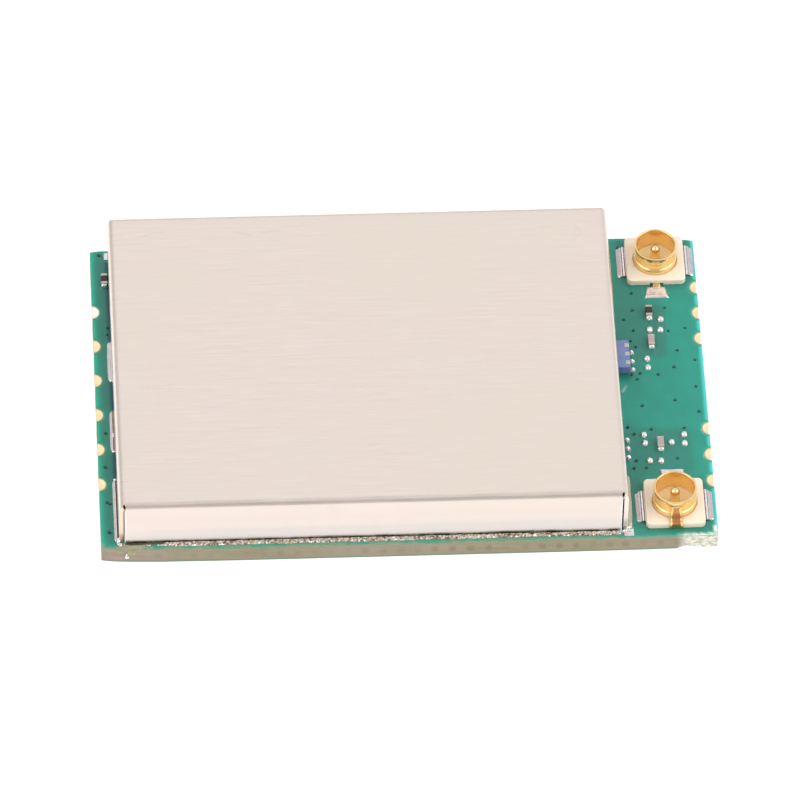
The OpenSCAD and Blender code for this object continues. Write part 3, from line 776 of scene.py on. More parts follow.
def loop_normals(p):
    d = np.roll(p, -1, 0) - np.roll(p, 1, 0)
    n = np.stack([d[:, 1], -d[:, 0]], 1)
    return n / np.maximum(np.linalg.norm(n, axis=1), 1e-9)[:, None]


outn = loop_normals(loop)

vias = [
    (0.41, 6.82, 0.11), (0.35, 4.86, 0.12), (0.36, 2.83, 0.11), (0.47, 2.76, 0.10), (0.41, 1.14, 0.13),
    (0.68, 12.93, 0.08), (0.67, 12.52, 0.08), (0.42, 17.25, 0.13), (0.30, 11.9, 0.07),
    (24.04, 14.23, 0.10), (24.02, 13.22, 0.10), (25.48, 13.32, 0.08), (23.59, 12.68, 0.10), (23.99, 12.02, 0.09),
    (25.55, 11.96, 0.09), (23.82, 11.4, 0.08), (24.02, 11.05, 0.10), (25.87, 10.81, 0.10), (26.63, 10.23, 0.09),
    (25.67, 9.85, 0.11), (24.14, 9.52, 0.11), (24.94, 9.43, 0.10), (23.99, 9.17, 0.09), (23.74, 9.42, 0.08),
    (26.57, 8.68, 0.10), (25.59, 7.92, 0.11), (24.11, 7.63, 0.11), (26.61, 7.22, 0.10), (23.37, 6.4, 0.12),
    (24.42, 6.25, 0.10), (25.88, 6.29, 0.11), (23.63, 5.99, 0.11), (25.48, 4.54, 0.09), (23.65, 4.46, 0.10),
    (23.51, 4.03, 0.11), (24.06, 4.04, 0.10), (23.63, 16.92, 0.11), (24.26, 14.9, 0.08), (26.3, 12.1, 0.07),
]

# places with no copper under the mask: they read darker
dark_spots = [
    # (x0, y0, x1, y1, corner radius, softness, strength)
    (23.0, 10.35, 25.45, 13.6, 0.55, 0.14, 0.62),
    (23.0, 9.1, 24.2, 10.6, 0.4, 0.2, 0.5),
    (23.3, 3.55, 26.15, 6.25, 0.5, 0.2, 0.55),
    (23.0, 1.2, 23.95, 4.2, 0.3, 0.3, 0.6),
    (23.2, 13.2, 24.6, 15.2, 0.4, 0.3, 0.5),
    (0.28, 0.4, 0.9, 17.3, 0.1, 0.16, 0.75),
]


def rounded_box_dist(x, y, x0, y0, x1, y1, r):
    cx, cy, hx, hy = (x0 + x1) / 2, (y0 + y1) / 2, (x1 - x0) / 2 - r, (y1 - y0) / 2 - r
    dx, dy = abs(x - cx) - hx, abs(y - cy) - hy
    return math.hypot(max(dx, 0), max(dy, 0)) + min(max(dx, dy), 0) - r


def seg_dist(x, y, a, b):
    d = (b[0] - a[0], b[1] - a[1])
    t = max(0.0, min(1.0, ((x - a[0]) * d[0] + (y - a[1]) * d[1]) / max(1e-12, d[0] ** 2 + d[1] ** 2)))
    return math.hypot(x - a[0] - t * d[0], y - a[1] - t * d[1])


traces = [
    ([(0.80, 8.95), (0.62, 8.86), (0.50, 8.70), (0.44, 8.5)], 0.05),
    ([(0.80, 5.12), (0.66, 5.22), (0.52, 5.42), (0.50, 5.6)], 0.05),
    ([(25.05, 12.55), (24.98, 12.35), (24.95, 12.2)], 0.09),
]
# painted shade: the mask is darkened round the base of each socket
socket_shade_boxes = [
    (FS[0] - 1.55, FS[1] - 1.4, FS[0] + 1.55, FS[1] + 1.4),
    (RS[0] - 1.55, RS[1] - 1.4, RS[0] + 1.55, RS[1] + 1.4),
]


def mask_tone(x, y):
    """How dark, via-like and scratched the mask is at a point."""
    dark = 0.0
    for x0, y0, x1, y1, r, soft, k in dark_spots:
        d = rounded_box_dist(x, y, x0, y0, x1, y1, r)
        dark = max(dark, k * (1 - smooth(-soft, soft, d)))
    # painted shade round the socket bases
    for x0, y0, x1, y1 in socket_shade_boxes:
        d = rounded_box_dist(x, y, x0, y0, x1, y1, 0.2)
        dark = max(dark, 0.5 * (1 - smooth(0.0, 0.35, d)))
    for line, w in traces:
        d = min(seg_dist(x, y, a, b) for a, b in zip(line[:-1], line[1:]))
        dark = max(dark, 0.9 * (1 - smooth(w * 0.5, w * 1.5, d)))
    via = 0.0
    for cx, cy, r in vias:
        d = math.hypot(x - cx, y - cy)
        if d < r * 1.7:
            via = max(via, 1 - smooth(r * 0.3, r * 1.0, d))
    sc = 1 - smooth(0.01, 0.05, seg_dist(x, y, (23.3, 8.45), (23.52, 8.78)))
    return dark, via, sc


def board():
    g = Geo()
    poly = loop
    # top, with rings of points round every via so that each dips smoothly
    bev = 0.035
    inner = poly - outn * bev
    extra = []
    via_rings = []
    for cx, cy, r in vias:
        for q, n in ((1.3, 18), (1.0, 18), (0.75, 16), (0.5, 12), (0.28, 8)):
            via_rings += ring_pts(cx, cy, r * q, n, 0.5)
        via_rings.append((cx, cy))
    zones = ((0.06, CX0 + 0.25, 0.09), (CX1 - 0.2, BW - 0.05, 0.11))
    for x0, x1, s in zones:
        nx, ny = int((x1 - x0) / s), int(BD / s)
        extra += [
            (x0 + (x1 - x0) * (i + 0.5 * (j % 2)) / nx, 0.1 + (BD - 0.2) * j / ny)
            for i in range(nx + 1)
            for j in range(ny + 1)
        ]
    for y0, y1, s in ((0.06, CY0 + 0.2, 0.12), (CY1 - 0.1, BD - 0.04, 0.3)):
        nx, ny = int((CX1 - CX0) / s), max(1, int((y1 - y0) / s))
        extra += [(CX0 + (CX1 - CX0) * i / nx, y0 + (y1 - y0) * j / ny) for i in range(nx + 1) for j in range(ny + 1)]
    extra += [(1.5 + i, 1.2 + j) for i in range(21) for j in range(16)]
    # along the edge: rings that carry the bright rim
    for inset in (0.06, 0.09, 0.12, 0.16, 0.25, 0.36):
        extra += (poly - outn * inset)[::1].tolist()
    extra = np.array(extra)
    ok = inside(inner, extra) & (edge_dist(inner, extra) > 0.03)
    extra = extra[ok]
    if len(via_rings):
        vr = np.array(via_rings)
        near = np.zeros(len(extra), bool)
        for cx, cy, r in vias:
            near |= np.hypot(extra[:, 0] - cx, extra[:, 1] - cy) < r * 1.45
        extra = np.vstack([extra[~near], vr[inside(inner, vr) & (edge_dist(inner, vr) > 0.012)]])
    v2, tri = cdt([inner], extra, lambda c: inside(inner, c))
    ed = edge_dist(poly, v2)
    z, dark, via, scr, rl, cy_, pale, navy, frost, laminate = [], [], [], [], [], [], [], [], [], []
    for (x, y), e in zip(v2, ed):
        dk, vi, sc = mask_tone(x, y)
        h = T - 0.075 * vi
        h -= 0.012 * dk * (0 if x < 1 else 1) * 0.6
        h += 0.004 * fbm(x / 1.3, y / 1.3, 0, 2, 3)
        z.append(min(h, T))
        dark.append(dk)
        via.append(vi)
        scr.append(sc)
        right = x > CX1
        to_side = min(x, BW - x)
        k = 1 - smooth(0.05, 0.22, to_side)
        for c in right_ys if right else left_ys:
            k *= smooth(hole_r + 0.02, hole_r + 0.16, abs(y - c))
        if to_side > e + 0.02 and k < 0.1:
            k = 0.2 * (1 - smooth(0.04, 0.2, e))
        rl.append(k)
        cy_.append(1.0 if right else 0.0)
        front = y < 0.5 and x < BW - 1.2
        p = (1 - smooth(0.13, 0.27, e)) * (1.0 if front else 0.0) * (1 - 0.7 * smooth(CX1 - 3, CX1 + 0.5, x))
        p *= 0.35 + 0.65 * smooth(0.35, 0.6, 0.5 + fbm(x / 0.6, 0, 0, 3, 14))
        bare = max(1 - smooth(0.05, 0.085, e) if front else 0.0, smooth(0.75, 1.0, x) * (1 - smooth(1.7, 2.2, x)) if y < CY0 else 0.0)
        laminate.append(bare)
        pale.append(p)
        nv = 0.0
        # painted shade on the mask just outside the left wall, along its arches
        if CX0 - 0.4 < x < CX0 + 0.05 and any(a < y < b for a, b in ((4.1, 5.75), (8.1, 9.8), (12.1, 16.85))):
            nv = 0.85 * (1 - smooth(0.03, 0.22, CX0 - x))
        navy.append(nv)
        fr = 0.0
        if x > BW - 2.6 and y < 0.8:
            fr = (1 - smooth(0.12, 0.26, e + 0.1 * fbm(x / 0.2, y / 0.2, 0, 3, 8))) * smooth(BW - 1.95, BW - 1.3, x) * (1 - smooth(0.5, 0.75, y))
        elif x > BW - 0.3 and y < 1.1:
            fr = 0.4 * (1 - smooth(0.03, 0.12, e)) * (1 - smooth(0.8, 1.1, y))
        frost.append(fr)
    top = [(x, y, h) for (x, y), h in zip(v2, z)]
    g.add(top, tri.tolist(), 0, dark=dark, via=via, rimlight=rl, scratch=scr, broken=0.0, lowline=0.0, cyan=cy_, pale=pale, pink=0.0, navy=navy, frost=frost, bare=laminate)
    # sides
    levels = [T, T - 0.012, T - 0.035, T - 0.06, 0.66, 0.58, 0.5, 0.42, 0.34, 0.26, 0.18, 0.11, 0.06, 0.03, 0.008, 0.0]
    n = len(poly)
    rows, brk_rows, low_rows = [], [], []
    for k, zl in enumerate(levels):
        row, br, lw = [], [], []
        for i in range(n):
            x, y = poly[i]
            nx, ny = outn[i]
            into = 0.0
            hole = any(abs(y - c) < hole_r + 0.01 for c in (left_ys if x < 1 else right_ys)) and (x < 0.6 or x > BW - 0.6)
            front = y < 0.3 and ny < -0.3
            b = smooth(BW - 1.9, BW - 1.25, x) if front else (smooth(0.5, 0.2, y) * 0.9 if x > BW - 0.3 and y < 0.6 else 0.0)
            if zl >= T - 0.001:
                into = bev
            elif zl > T - 0.02:
                into = 0.012
            elif zl > T - 0.04:
                into = 0.0
            if not hole:
                if T - 0.05 > zl > 0.02:
                    into += 0.008 + 0.012 * fbm(x / 0.35, y / 0.35, zl / 0.09, 3, 1)
                if zl < 0.004:
                    into += 0.008
                if b > 0:
                    rough = fbm(x / 0.16, y / 0.2, zl / 0.12, 4, 6)
                    depth = 0.01 + 0.09 * max(0.0, rough + 0.25)
                    if zl > T - 0.02:
                        depth *= 0.15
                    into += b * depth
                    if BW - 1.75 < x < BW - 0.7 and zl < 0.13:
                        into += 0.09 * (1 - smooth(0.03, 0.13, zl)) * (0.6 + 0.6 * (fbm(x / 0.3, 0, 0, 2, 9) + 0.5))
            row.append((x - nx * into, y - ny * into, zl))
            br.append(b * (1 if zl < T - 0.008 else 0.0))
            lw.append((1 - smooth(0.05, 0.13, zl)) * (0.9 if front else 0.45) * (1 - b))
        rows.append(row)
        brk_rows.append(br)
        low_rows.append(lw)
    v, f, m, br, lw = [], [], [], [], []
    for k in range(len(levels)):
        v += rows[k]
        br += brk_rows[k]
        lw += low_rows[k]
    rlv, cyv, pav, piv = [], [], [], []
    for k in range(len(levels)):
        for i in range(n):
            x, y = poly[i]
            is_side = min(x, BW - x) < min(y, BD - y)
            front = y < 0.3 and outn[i][1] < -0.3
            rlv.append(1.0 if is_side else 0.3)
            cyv.append(1.0 if x > CX1 else 0.0)
            pav.append(0.9 if front and x < CX1 + 0.4 else 0.0)
            pk = (1 - smooth(0.6, 4.5, x)) * smooth(-0.2, 0.5, x) if front else 0.0
            piv.append(pk * (0.55 + 0.45 * smooth(0.3, 0.7, 0.5 + fbm(x / 0.5 + levels[k] * 1.2, 0, levels[k] / 0.4, 2, 17))))
    for k in range(len(levels) - 1):
        for i in range(n):
            j = (i + 1) % n
            f.append((k * n + i, (k + 1) * n + i, (k + 1) * n + j, k * n + j))
            is_front = poly[i][1] < 0.3 and outn[i][1] < -0.3
            m.append(0 if k < (1 if is_front else 2) else 1)
    g.add(v, f, m, dark=0.0, via=0.0, rimlight=rlv, scratch=0.0, broken=br, lowline=lw, cyan=cyv, pale=pav, pink=piv, navy=0.0, frost=0.0, bare=0.0)
    # underside
    bot = np.array([(p[0], p[1]) for p in rows[-1]])
    v3, tri3 = cdt([bot], [(1 + i * 1.25, 1 + j * 1.2) for i in range(20) for j in range(13)], lambda c: inside(bot, c))
    g.add([(x, y, 0.0) for x, y in v3], tri3[:, ::-1].tolist(), 0, dark=0.2)
    return make(g, "circuit_board_laminate", [mat_mask, mat_lam], ["circuit_board"], 40, weld=2e-4)


board()

# ------------------------------------------------------------------ edge contacts


def contact_geo(g, x, c, side):
    """A half tube with a flat lip at each face; side is 1 where the board lies at larger x."""
    prof = [
        (lining_r, 0.012), (lining_r, T - 0.012), (lining_r + 0.008, T - 0.001), (lining_r + 0.02, T + 0.0),
        (ring_r - 0.035, T + 0.0), (ring_r, T - 0.006), (ring_r, T - 0.02), (hole_r, T - 0.02),
        (hole_r, 0.02), (ring_r, 0.02), (ring_r, 0.006), (ring_r - 0.012, 0.0), (lining_r + 0.02, 0.0), (lining_r + 0.008, 0.001),
    ]
    tone = [0.3, 0.1, 0.0, 0.0, 0.75, 1.0, 1.0, 1.0, 1.0, 1.0, 1.0, 0.5, 0.0, 0.2]
    seg = 40
    v, f, tc = [], [], []
    m = len(prof)
    for i in range(seg + 1):
        a = (-1 + 2 * i / seg) * math.acos(OUT / lining_r)
        for (r, z), t in zip(prof, tone):
            rr = r + (0.006 * fbm(math.cos(a) * 2, math.sin(a) * 2, c, 2, 4) if r == ring_r else 0)
            v.append((x + side * max(0.0, rr * math.cos(a) - OUT), c + rr * math.sin(a), z))
            tc.append(t)
    for i in range(seg):
        for k in range(m):
            q = (k + 1) % m
            f.append((i * m + k, (i + 1) * m + k, (i + 1) * m + q, i * m + q))
    f.append(tuple(range(m)))
    f.append(tuple(range(seg * m, seg * m + m))[::-1])
    # the rearmost left contact gets the painted near-white highlight
    g.add(v, f, 0, rimcol=tc, white=1.0 if (side > 0 and c == max(left_ys)) else 0.0)


for node, x, side in (("edge_contacts_left", 0.0, 1), ("edge_contacts_right_front", BW, -1), ("edge_contacts_right_rear", BW, -1)):
    g = Geo()
    for c, _ in contacts[node]:
        contact_geo(g, x, c, side)
    make(g, node + "_plating", [mat_edge_gold], [node], 40)

# ------------------------------------------------------------------ shield can
SHEET, FOLD = 0.2, 0.31
CZ0 = T
SLIT, SLIT_END, CLIP = 0.045, 0.26, 0.28
ARC = FOLD * math.pi / 2
DROP = CZ1 - FOLD - CZ0
left_arches = [(4.2, 5.6), (8.2, 9.7), (12.2, 16.8)]
right_windows = [(3.8, 6.6), (8.95, 11.75)]

scuffs = [
    ((1.99, 16.13), (3.24, 16.44), 0.05, 0.35), ((6.44, 16.34), (7.10, 16.14), 0.06, 0.3),
    ((7.64, 16.24), (8.45, 16.39), 0.06, 0.3), ((20.0, 16.2), (20.5, 16.16), 0.05, 0.2),
    ((21.58, 16.2), (21.87, 15.83), 0.05, 0.3), ((21.87, 15.83), (21.44, 15.37), 0.05, 0.25),
    ((14.3, 14.7), (14.6, 14.66), 0.04, 0.15),
]


def fold_axis(s, lo, hi, depth):
    """Position and drop along one unfolded axis; depth 0 is the outer face and 1 the inner."""
    r = FOLD - depth * SHEET
    a_lo, a_hi = lo + FOLD, hi - FOLD
    if s < a_lo:
        t = a_lo - s
        if t <= ARC:
            q = t / FOLD
            return a_lo - r * math.sin(q), FOLD - depth * SHEET - r * math.cos(q), q
        return a_lo - r, r + (t - ARC), math.pi / 2
    if s > a_hi:
        t = s - a_hi
        if t <= ARC:
            q = t / FOLD
            return a_hi + r * math.sin(q), FOLD - depth * SHEET - r * math.cos(q), q
        return a_hi + r, r + (t - ARC), math.pi / 2
    return s, 0.0, 0.0


def can_point(u, v, depth):
    side_flap = u < CX0 + SHEET + SLIT * 0.4 or u > CX1 - SHEET - SLIT * 0.4
    # the top falls away a little before each fold
    crown = 0.0
    for d in (u - (CX0 + FOLD), CX1 - FOLD - u, v - (CY0 + FOLD), CY1 - FOLD - v):
        if d < 0.55:
            crown = max(crown, 0.018 * (1 - max(d, 0.0) / 0.55) ** 2)
    x, du, _ = fold_axis(u, CX0, CX1, depth)
    y, dv, _ = fold_axis(v, CY0, CY1, depth)
    if side_flap and v < CY0 + FOLD + 0.02:
        k = smooth(CY0 + SLIT_END, CY0 + FOLD, v)
        y = v * (1 - k) + y * k
        dv *= k
    if not side_flap and v < CY0 + FOLD:
        # the front fold is a little taller than it is deep
        dv += 0.09 * smooth(0.0, FOLD, dv) * (1 - smooth(FOLD, CZ1 - CZ0, dv))
    z = CZ1 - depth * SHEET - max(du, dv)
    if max(du, dv) < DROP:
        z -= crown * (1 - smooth(0.0, 0.5, max(du, dv)))
    # the lower edge of the front wall turns out a little, onto its solder
    h = z - CZ0
    if not side_flap and v < CY0 and h < 0.66:
        y -= 0.075 * ((0.66 - h) / 0.66) ** 2
    return x, y, z


def rounded_notch(a, b, base, height, r, n=5):
    """Points of a notch from a to b along an edge at base, height deep, as (along, across)."""
    out = [(a, base)]
    out += [(a + r - r * math.cos(t), base + height - r + r * math.sin(t)) for t in np.linspace(0, math.pi / 2, n)]
    out += [(b - r + r * math.sin(t), base + height - r + r * math.cos(t)) for t in np.linspace(0, math.pi / 2, n)]
    out += [(b, base)]
    return out


def can():
    tu0, tu1 = CX0 + FOLD, CX1 - FOLD
    tv0, tv1 = CY0 + FOLD, CY1 - FOLD
    end = ARC + DROP
    gap = 0.006
    ul, ur = tu0 - end, tu1 + end
    vf, vb = tv0 - end, tv1 + end
    s_in = tu0 - FOLD * math.asin((FOLD - SHEET) / FOLD)
    s_in_r = tu1 + FOLD * math.asin((FOLD - SHEET) / FOLD)
    ue = CX0 + SHEET + SLIT
    ue_r = CX1 - SHEET - SLIT - 0.015
    # relief hole at the top of each slit, on the front fold
    hole_v, hole_a, hole_b = tv0 - 0.29, 0.062, 0.15
    rn = 0.02
    out = []
    # front flap, left to right along its lower edge
    out += [(ue, vf + rn), (ue + rn, vf), (ue_r - rn, vf), (ue_r, vf + rn)]
    # up the right slit, round its relief hole, down the side flap's edge
    hole_c = (ue_r + s_in_r) / 2
    out += [(ue_r, hole_v - hole_b)]
    out += [(hole_c - hole_a * math.sin(t) * 1.0, hole_v - hole_b * math.cos(t)) for t in np.linspace(0.75, 2 * math.pi - 0.75, 17)]
    out += [(s_in_r, CY0 + 0.004), (s_in_r + 0.01, CY0)]
    out += [(ur - rn, CY0), (ur, CY0 + rn)]
    for a, b in right_windows:
        out += [(ur - p[1], p[0]) for p in rounded_notch(a, b, 0.0, 0.7, 0.12)]
    cv = CY1 - CLIP
    out += [(ur, cv - rn), (ur - rn, cv)]

    def unfold(q, lo, hi):
        """Unfolded place of a point that lies at q in plan."""
        if q > hi:
            return hi + FOLD * math.asin(min(1.0, (q - hi) / FOLD))
        if q < lo:
            return lo - FOLD * math.asin(min(1.0, (lo - q) / FOLD))
        return q

    diag = [(CX1 - CLIP * t, CY1 - CLIP * (1 - t)) for t in np.linspace(0, 1, 13)]
    out += [(unfold(x, tu0, tu1), unfold(y, tv0, tv1)) for x, y in diag]
    out += [(CX1 - CLIP, vb - rn), (CX1 - CLIP - rn, vb), (CX0 + CLIP + rn, vb), (CX0 + CLIP, vb - rn)]
    diag = [(CX0 + CLIP * (1 - t), CY1 - CLIP * t) for t in np.linspace(0, 1, 13)]
    out += [(unfold(x, tu0, tu1), unfold(y, tv0, tv1)) for x, y in diag]
    out += [(ul + rn, cv), (ul, cv - rn)]
    for a, b in left_arches[::-1]:
        notch = rounded_notch(a, b, 0.0, 0.3, 0.13)
        out += [(ul + p[1], p[0]) for p in notch[::-1]]
    out += [(ul, CY0 + rn), (ul + rn, CY0), (s_in - 0.01, CY0), (s_in, CY0 + 0.004)]
    hole_c = (ue + s_in) / 2
    out += [(hole_c - (hole_a + 0.008) * math.sin(t), hole_v - hole_b * math.cos(t)) for t in np.linspace(0.75, 2 * math.pi - 0.75, 17)]
    out += [(ue, hole_v - hole_b)]
    # finer steps along the outline where it crosses a fold
    fine = []
    for i, a in enumerate(out):
        b = out[(i + 1) % len(out)]
        length = math.dist(a, b)
        step = 0.4
        n = max(1, int(math.ceil(length / step)))
        for k in range(n):
            fine.append((a[0] + (b[0] - a[0]) * k / n, a[1] + (b[1] - a[1]) * k / n))
    cuts_u = [tu0 - ARC * t for t in np.linspace(0, 1, 11)] + [tu1 + ARC * t for t in np.linspace(0, 1, 11)]
    cuts_v = [tv0 - ARC * t for t in np.linspace(0, 1, 11)] + [tv1 + ARC * t for t in np.linspace(0, 1, 11)]
    outline = []
    for i, a in enumerate(fine):
        b = fine[(i + 1) % len(fine)]
        ts = {0.0}
        for axis, cuts in ((0, cuts_u), (1, cuts_v)):
            d = b[axis] - a[axis]
            if abs(d) > 1e-9:
                for c in cuts:
                    t = (c - a[axis]) / d
                    if 1e-3 < t < 1 - 1e-3:
                        ts.add(t)
        for t in sorted(ts):
            outline.append((a[0] + (b[0] - a[0]) * t, a[1] + (b[1] - a[1]) * t))
    outline = np.array(outline)
    # inner points: rows along every fold, a grid on the top, a coarse grid on the walls
    pts = []
    us = [tu0 + 0.02, tu1 - 0.02] + list(np.linspace(tu0 + 0.4, tu1 - 0.4, 40))
    vs = [tv0 + 0.02, tv1 - 0.02] + list(np.linspace(tv0 + 0.4, tv1 - 0.4, 32))
    pts += [(u, v) for u in us for v in vs]
    shoulder = (0.08, 0.16, 0.25, 0.34, 0.44, 0.55)
    for c in cuts_v + [tv0 + d for d in shoulder] + [tv1 - d for d in shoulder]:
        pts += [(u, c) for u in np.linspace(ue + 0.12, ue_r - 0.12, 90)]
        pts += [(u, c) for u in (ue + 0.03, ue + 0.06, ue_r - 0.03, ue_r - 0.06)]
    for c in cuts_u + [tu0 + d for d in shoulder] + [tu1 - d for d in shoulder]:
        pts += [(c, v) for v in np.linspace(CY0 + 0.04, cv - 0.04, 70)]
        pts += [(c, v) for v in (CY0 + 0.1, CY0 + 0.16, CY0 + 0.22)]
    for w in (0.3, 0.7, 1.1, 1.35, 1.5, 1.6, 1.7, 1.78, 1.86, 1.93, 1.99, 2.04):
        pts += [(u, tv0 - ARC - w) for u in np.linspace(ue + 0.12, ue_r - 0.12, 110)]
        pts += [(u, tv0 - ARC - w) for u in (ue + 0.03, ue + 0.06, ue_r - 0.03, ue_r - 0.06)]
    for w in (0.3, 0.7, 1.1, 1.5, 1.9):
        pts += [(u, tv1 + ARC + w) for u in np.linspace(CX0 + CLIP + 0.15, CX1 - CLIP - 0.15, 46)]
        pts += [(tu0 - ARC - w, v) for v in np.linspace(CY0 + 0.1, cv - 0.1, 70)]
        pts += [(tu1 + ARC + w, v) for v in np.linspace(CY0 + 0.1, cv - 0.1, 70)]
    for a, b, w, k in scuffs:
        d = np.array(b) - np.array(a)
        length = np.linalg.norm(d)
        d /= length
        nn = np.array([-d[1], d[0]])
        for s in np.arange(-0.12, length + 0.13, 0.05):
            for o in (-2.4 * w, -1.2 * w, 0, 1.2 * w, 2.4 * w):
                pts.append(tuple(np.array(a) + d * s + nn * o))
    pts = np.array(pts)
    ok = inside(outline, pts) & (edge_dist(outline, pts) > 0.012)
    pts = pts[ok]
    keep_sc = []
    v2, tri = cdt([outline], pts, lambda c: inside(outline, c))
    sc = []
    for u, v in v2:
        s = 0.0
        for a, b, w, k in scuffs:
            dd = seg_dist(u, v, a, b)
            if dd < w * 2:
                s = max(s, k * (1 - smooth(0, w * 1.6, dd)) * (0.75 + 0.5 * fbm(u / 0.1, v / 0.1, 0, 2, 11)))
        sc.append(max(0.0, s))
    edges = rim(tri)
    onrim = sorted(set(a for a, _ in edges))
    # inward direction of each rim point, for the small burr-free rounding of the cut edge
    nrm = {i: np.zeros(2) for i in onrim}
    for a, b in edges:
        d = v2[b] - v2[a]
        n = np.array([d[1], -d[0]]) / max(np.linalg.norm(d), 1e-12)
        nrm[a] += n
        nrm[b] += n
    g = Geo()
    bevel = 0.014

    def wob(u, v, p):
        x, y, z = p
        if tu0 < u < tu1 and tv0 < v < tv1:
            z -= 0.0035 * (1 + fbm(u / 5.5, v / 5.5, 0, 2, 21)) * min(1.0, min(u - tu0, tu1 - u, v - tv0, tv1 - v) / 1.0)
        return (x, y, z)

    ring_out, ring_in = {}, {}
    outer = []
    for i, (u, v) in enumerate(v2):
        uu, vv = u, v
        if i in nrm:
            n = nrm[i] / max(np.linalg.norm(nrm[i]), 1e-9)
            uu, vv = u - n[0] * bevel, v - n[1] * bevel
        outer.append(wob(uu, vv, can_point(uu, vv, 0.0)))
    inner = [wob(u, v, can_point(u, v, 1.0)) for u, v in v2]
    n2 = len(v2)
    mid = {}
    verts = outer + inner
    for i in onrim:
        mid[i] = len(verts)
        verts.append(can_point(v2[i][0], v2[i][1], 0.05))
    faces = [tuple(t) for t in tri.tolist()] + [tuple(n2 + j for j in t[::-1]) for t in tri.tolist()]
    for a, b in edges:
        faces.append((b, a, mid[a], mid[b]))
        faces.append((mid[b], mid[a], n2 + a, n2 + b))
    scv = sc + [0.0] * (len(verts) - len(sc))
    low, upper, foot, cutedge, tan = [], [], [], [], []
    for i, p in enumerate(verts):
        out_face = i < n2 or i >= 2 * n2
        front = p[1] < CY0 + 0.03 and CX0 + SHEET < p[0] < CX1 - SHEET
        h = p[2] - CZ0
        # low: where the painted reflection of the floor makes the front wall matt and pale
        low.append((1 - smooth(0.35, 1.1, h)) if (front and out_face) else 0.0)
        upper.append(smooth(0.8, 1.3, h) if (front and out_face) else 0.0)
        # foot: height of the dark band at the wall's foot, part flux and part painted contact shadow
        top_of_band = 0.15 + 0.04 * fbm(p[0] / 1.4, 0, 0, 2, 23)
        foot.append((1 - smooth(top_of_band - 0.05, top_of_band + 0.03, h)) if (front and out_face) else 0.0)
        # painted highlight along the front flap's cut edges beside the slits
        near = min(abs(p[0] - ue), abs(p[0] - ue_r))
        cutedge.append((1 - smooth(0.025, 0.055, near)) if (front and out_face and h < CZ1 - CZ0 - 0.2) else 0.0)
        tan.append(1.0 if (i >= n2 and p[1] < CY0 + 0.012 and p[0] < CX0 + SHEET + 0.01) else 0.0)
    g.add(verts, faces, 0, scuff=scv, foot=foot, low=low, upper=upper, cutedge=cutedge, tan=tan)
    # dark plugs behind the relief holes and the slits: painted shade for the inside seen through them
    for c in ((ue + CX0 + SHEET) / 2, (ue_r + CX1 - SHEET) / 2):
        g.add(*rbox((c - 0.09, CY0 + 0.072, CZ1 - 0.46), (c + 0.09, CY0 + 0.3, CZ1 - 0.125), 0.012), 1)
        g.add(*rbox((c - 0.05, CY0 + 0.05, T + 0.03), (c + 0.05, CY0 + 0.2, CZ1 - 0.4), 0.01), 1)
    return make(g, "shield_can_sheet", [mat_can, mat_gap], ["shield_can"], 30, weld=1e-4)


can()

# ------------------------------------------------------------------ solder round the can


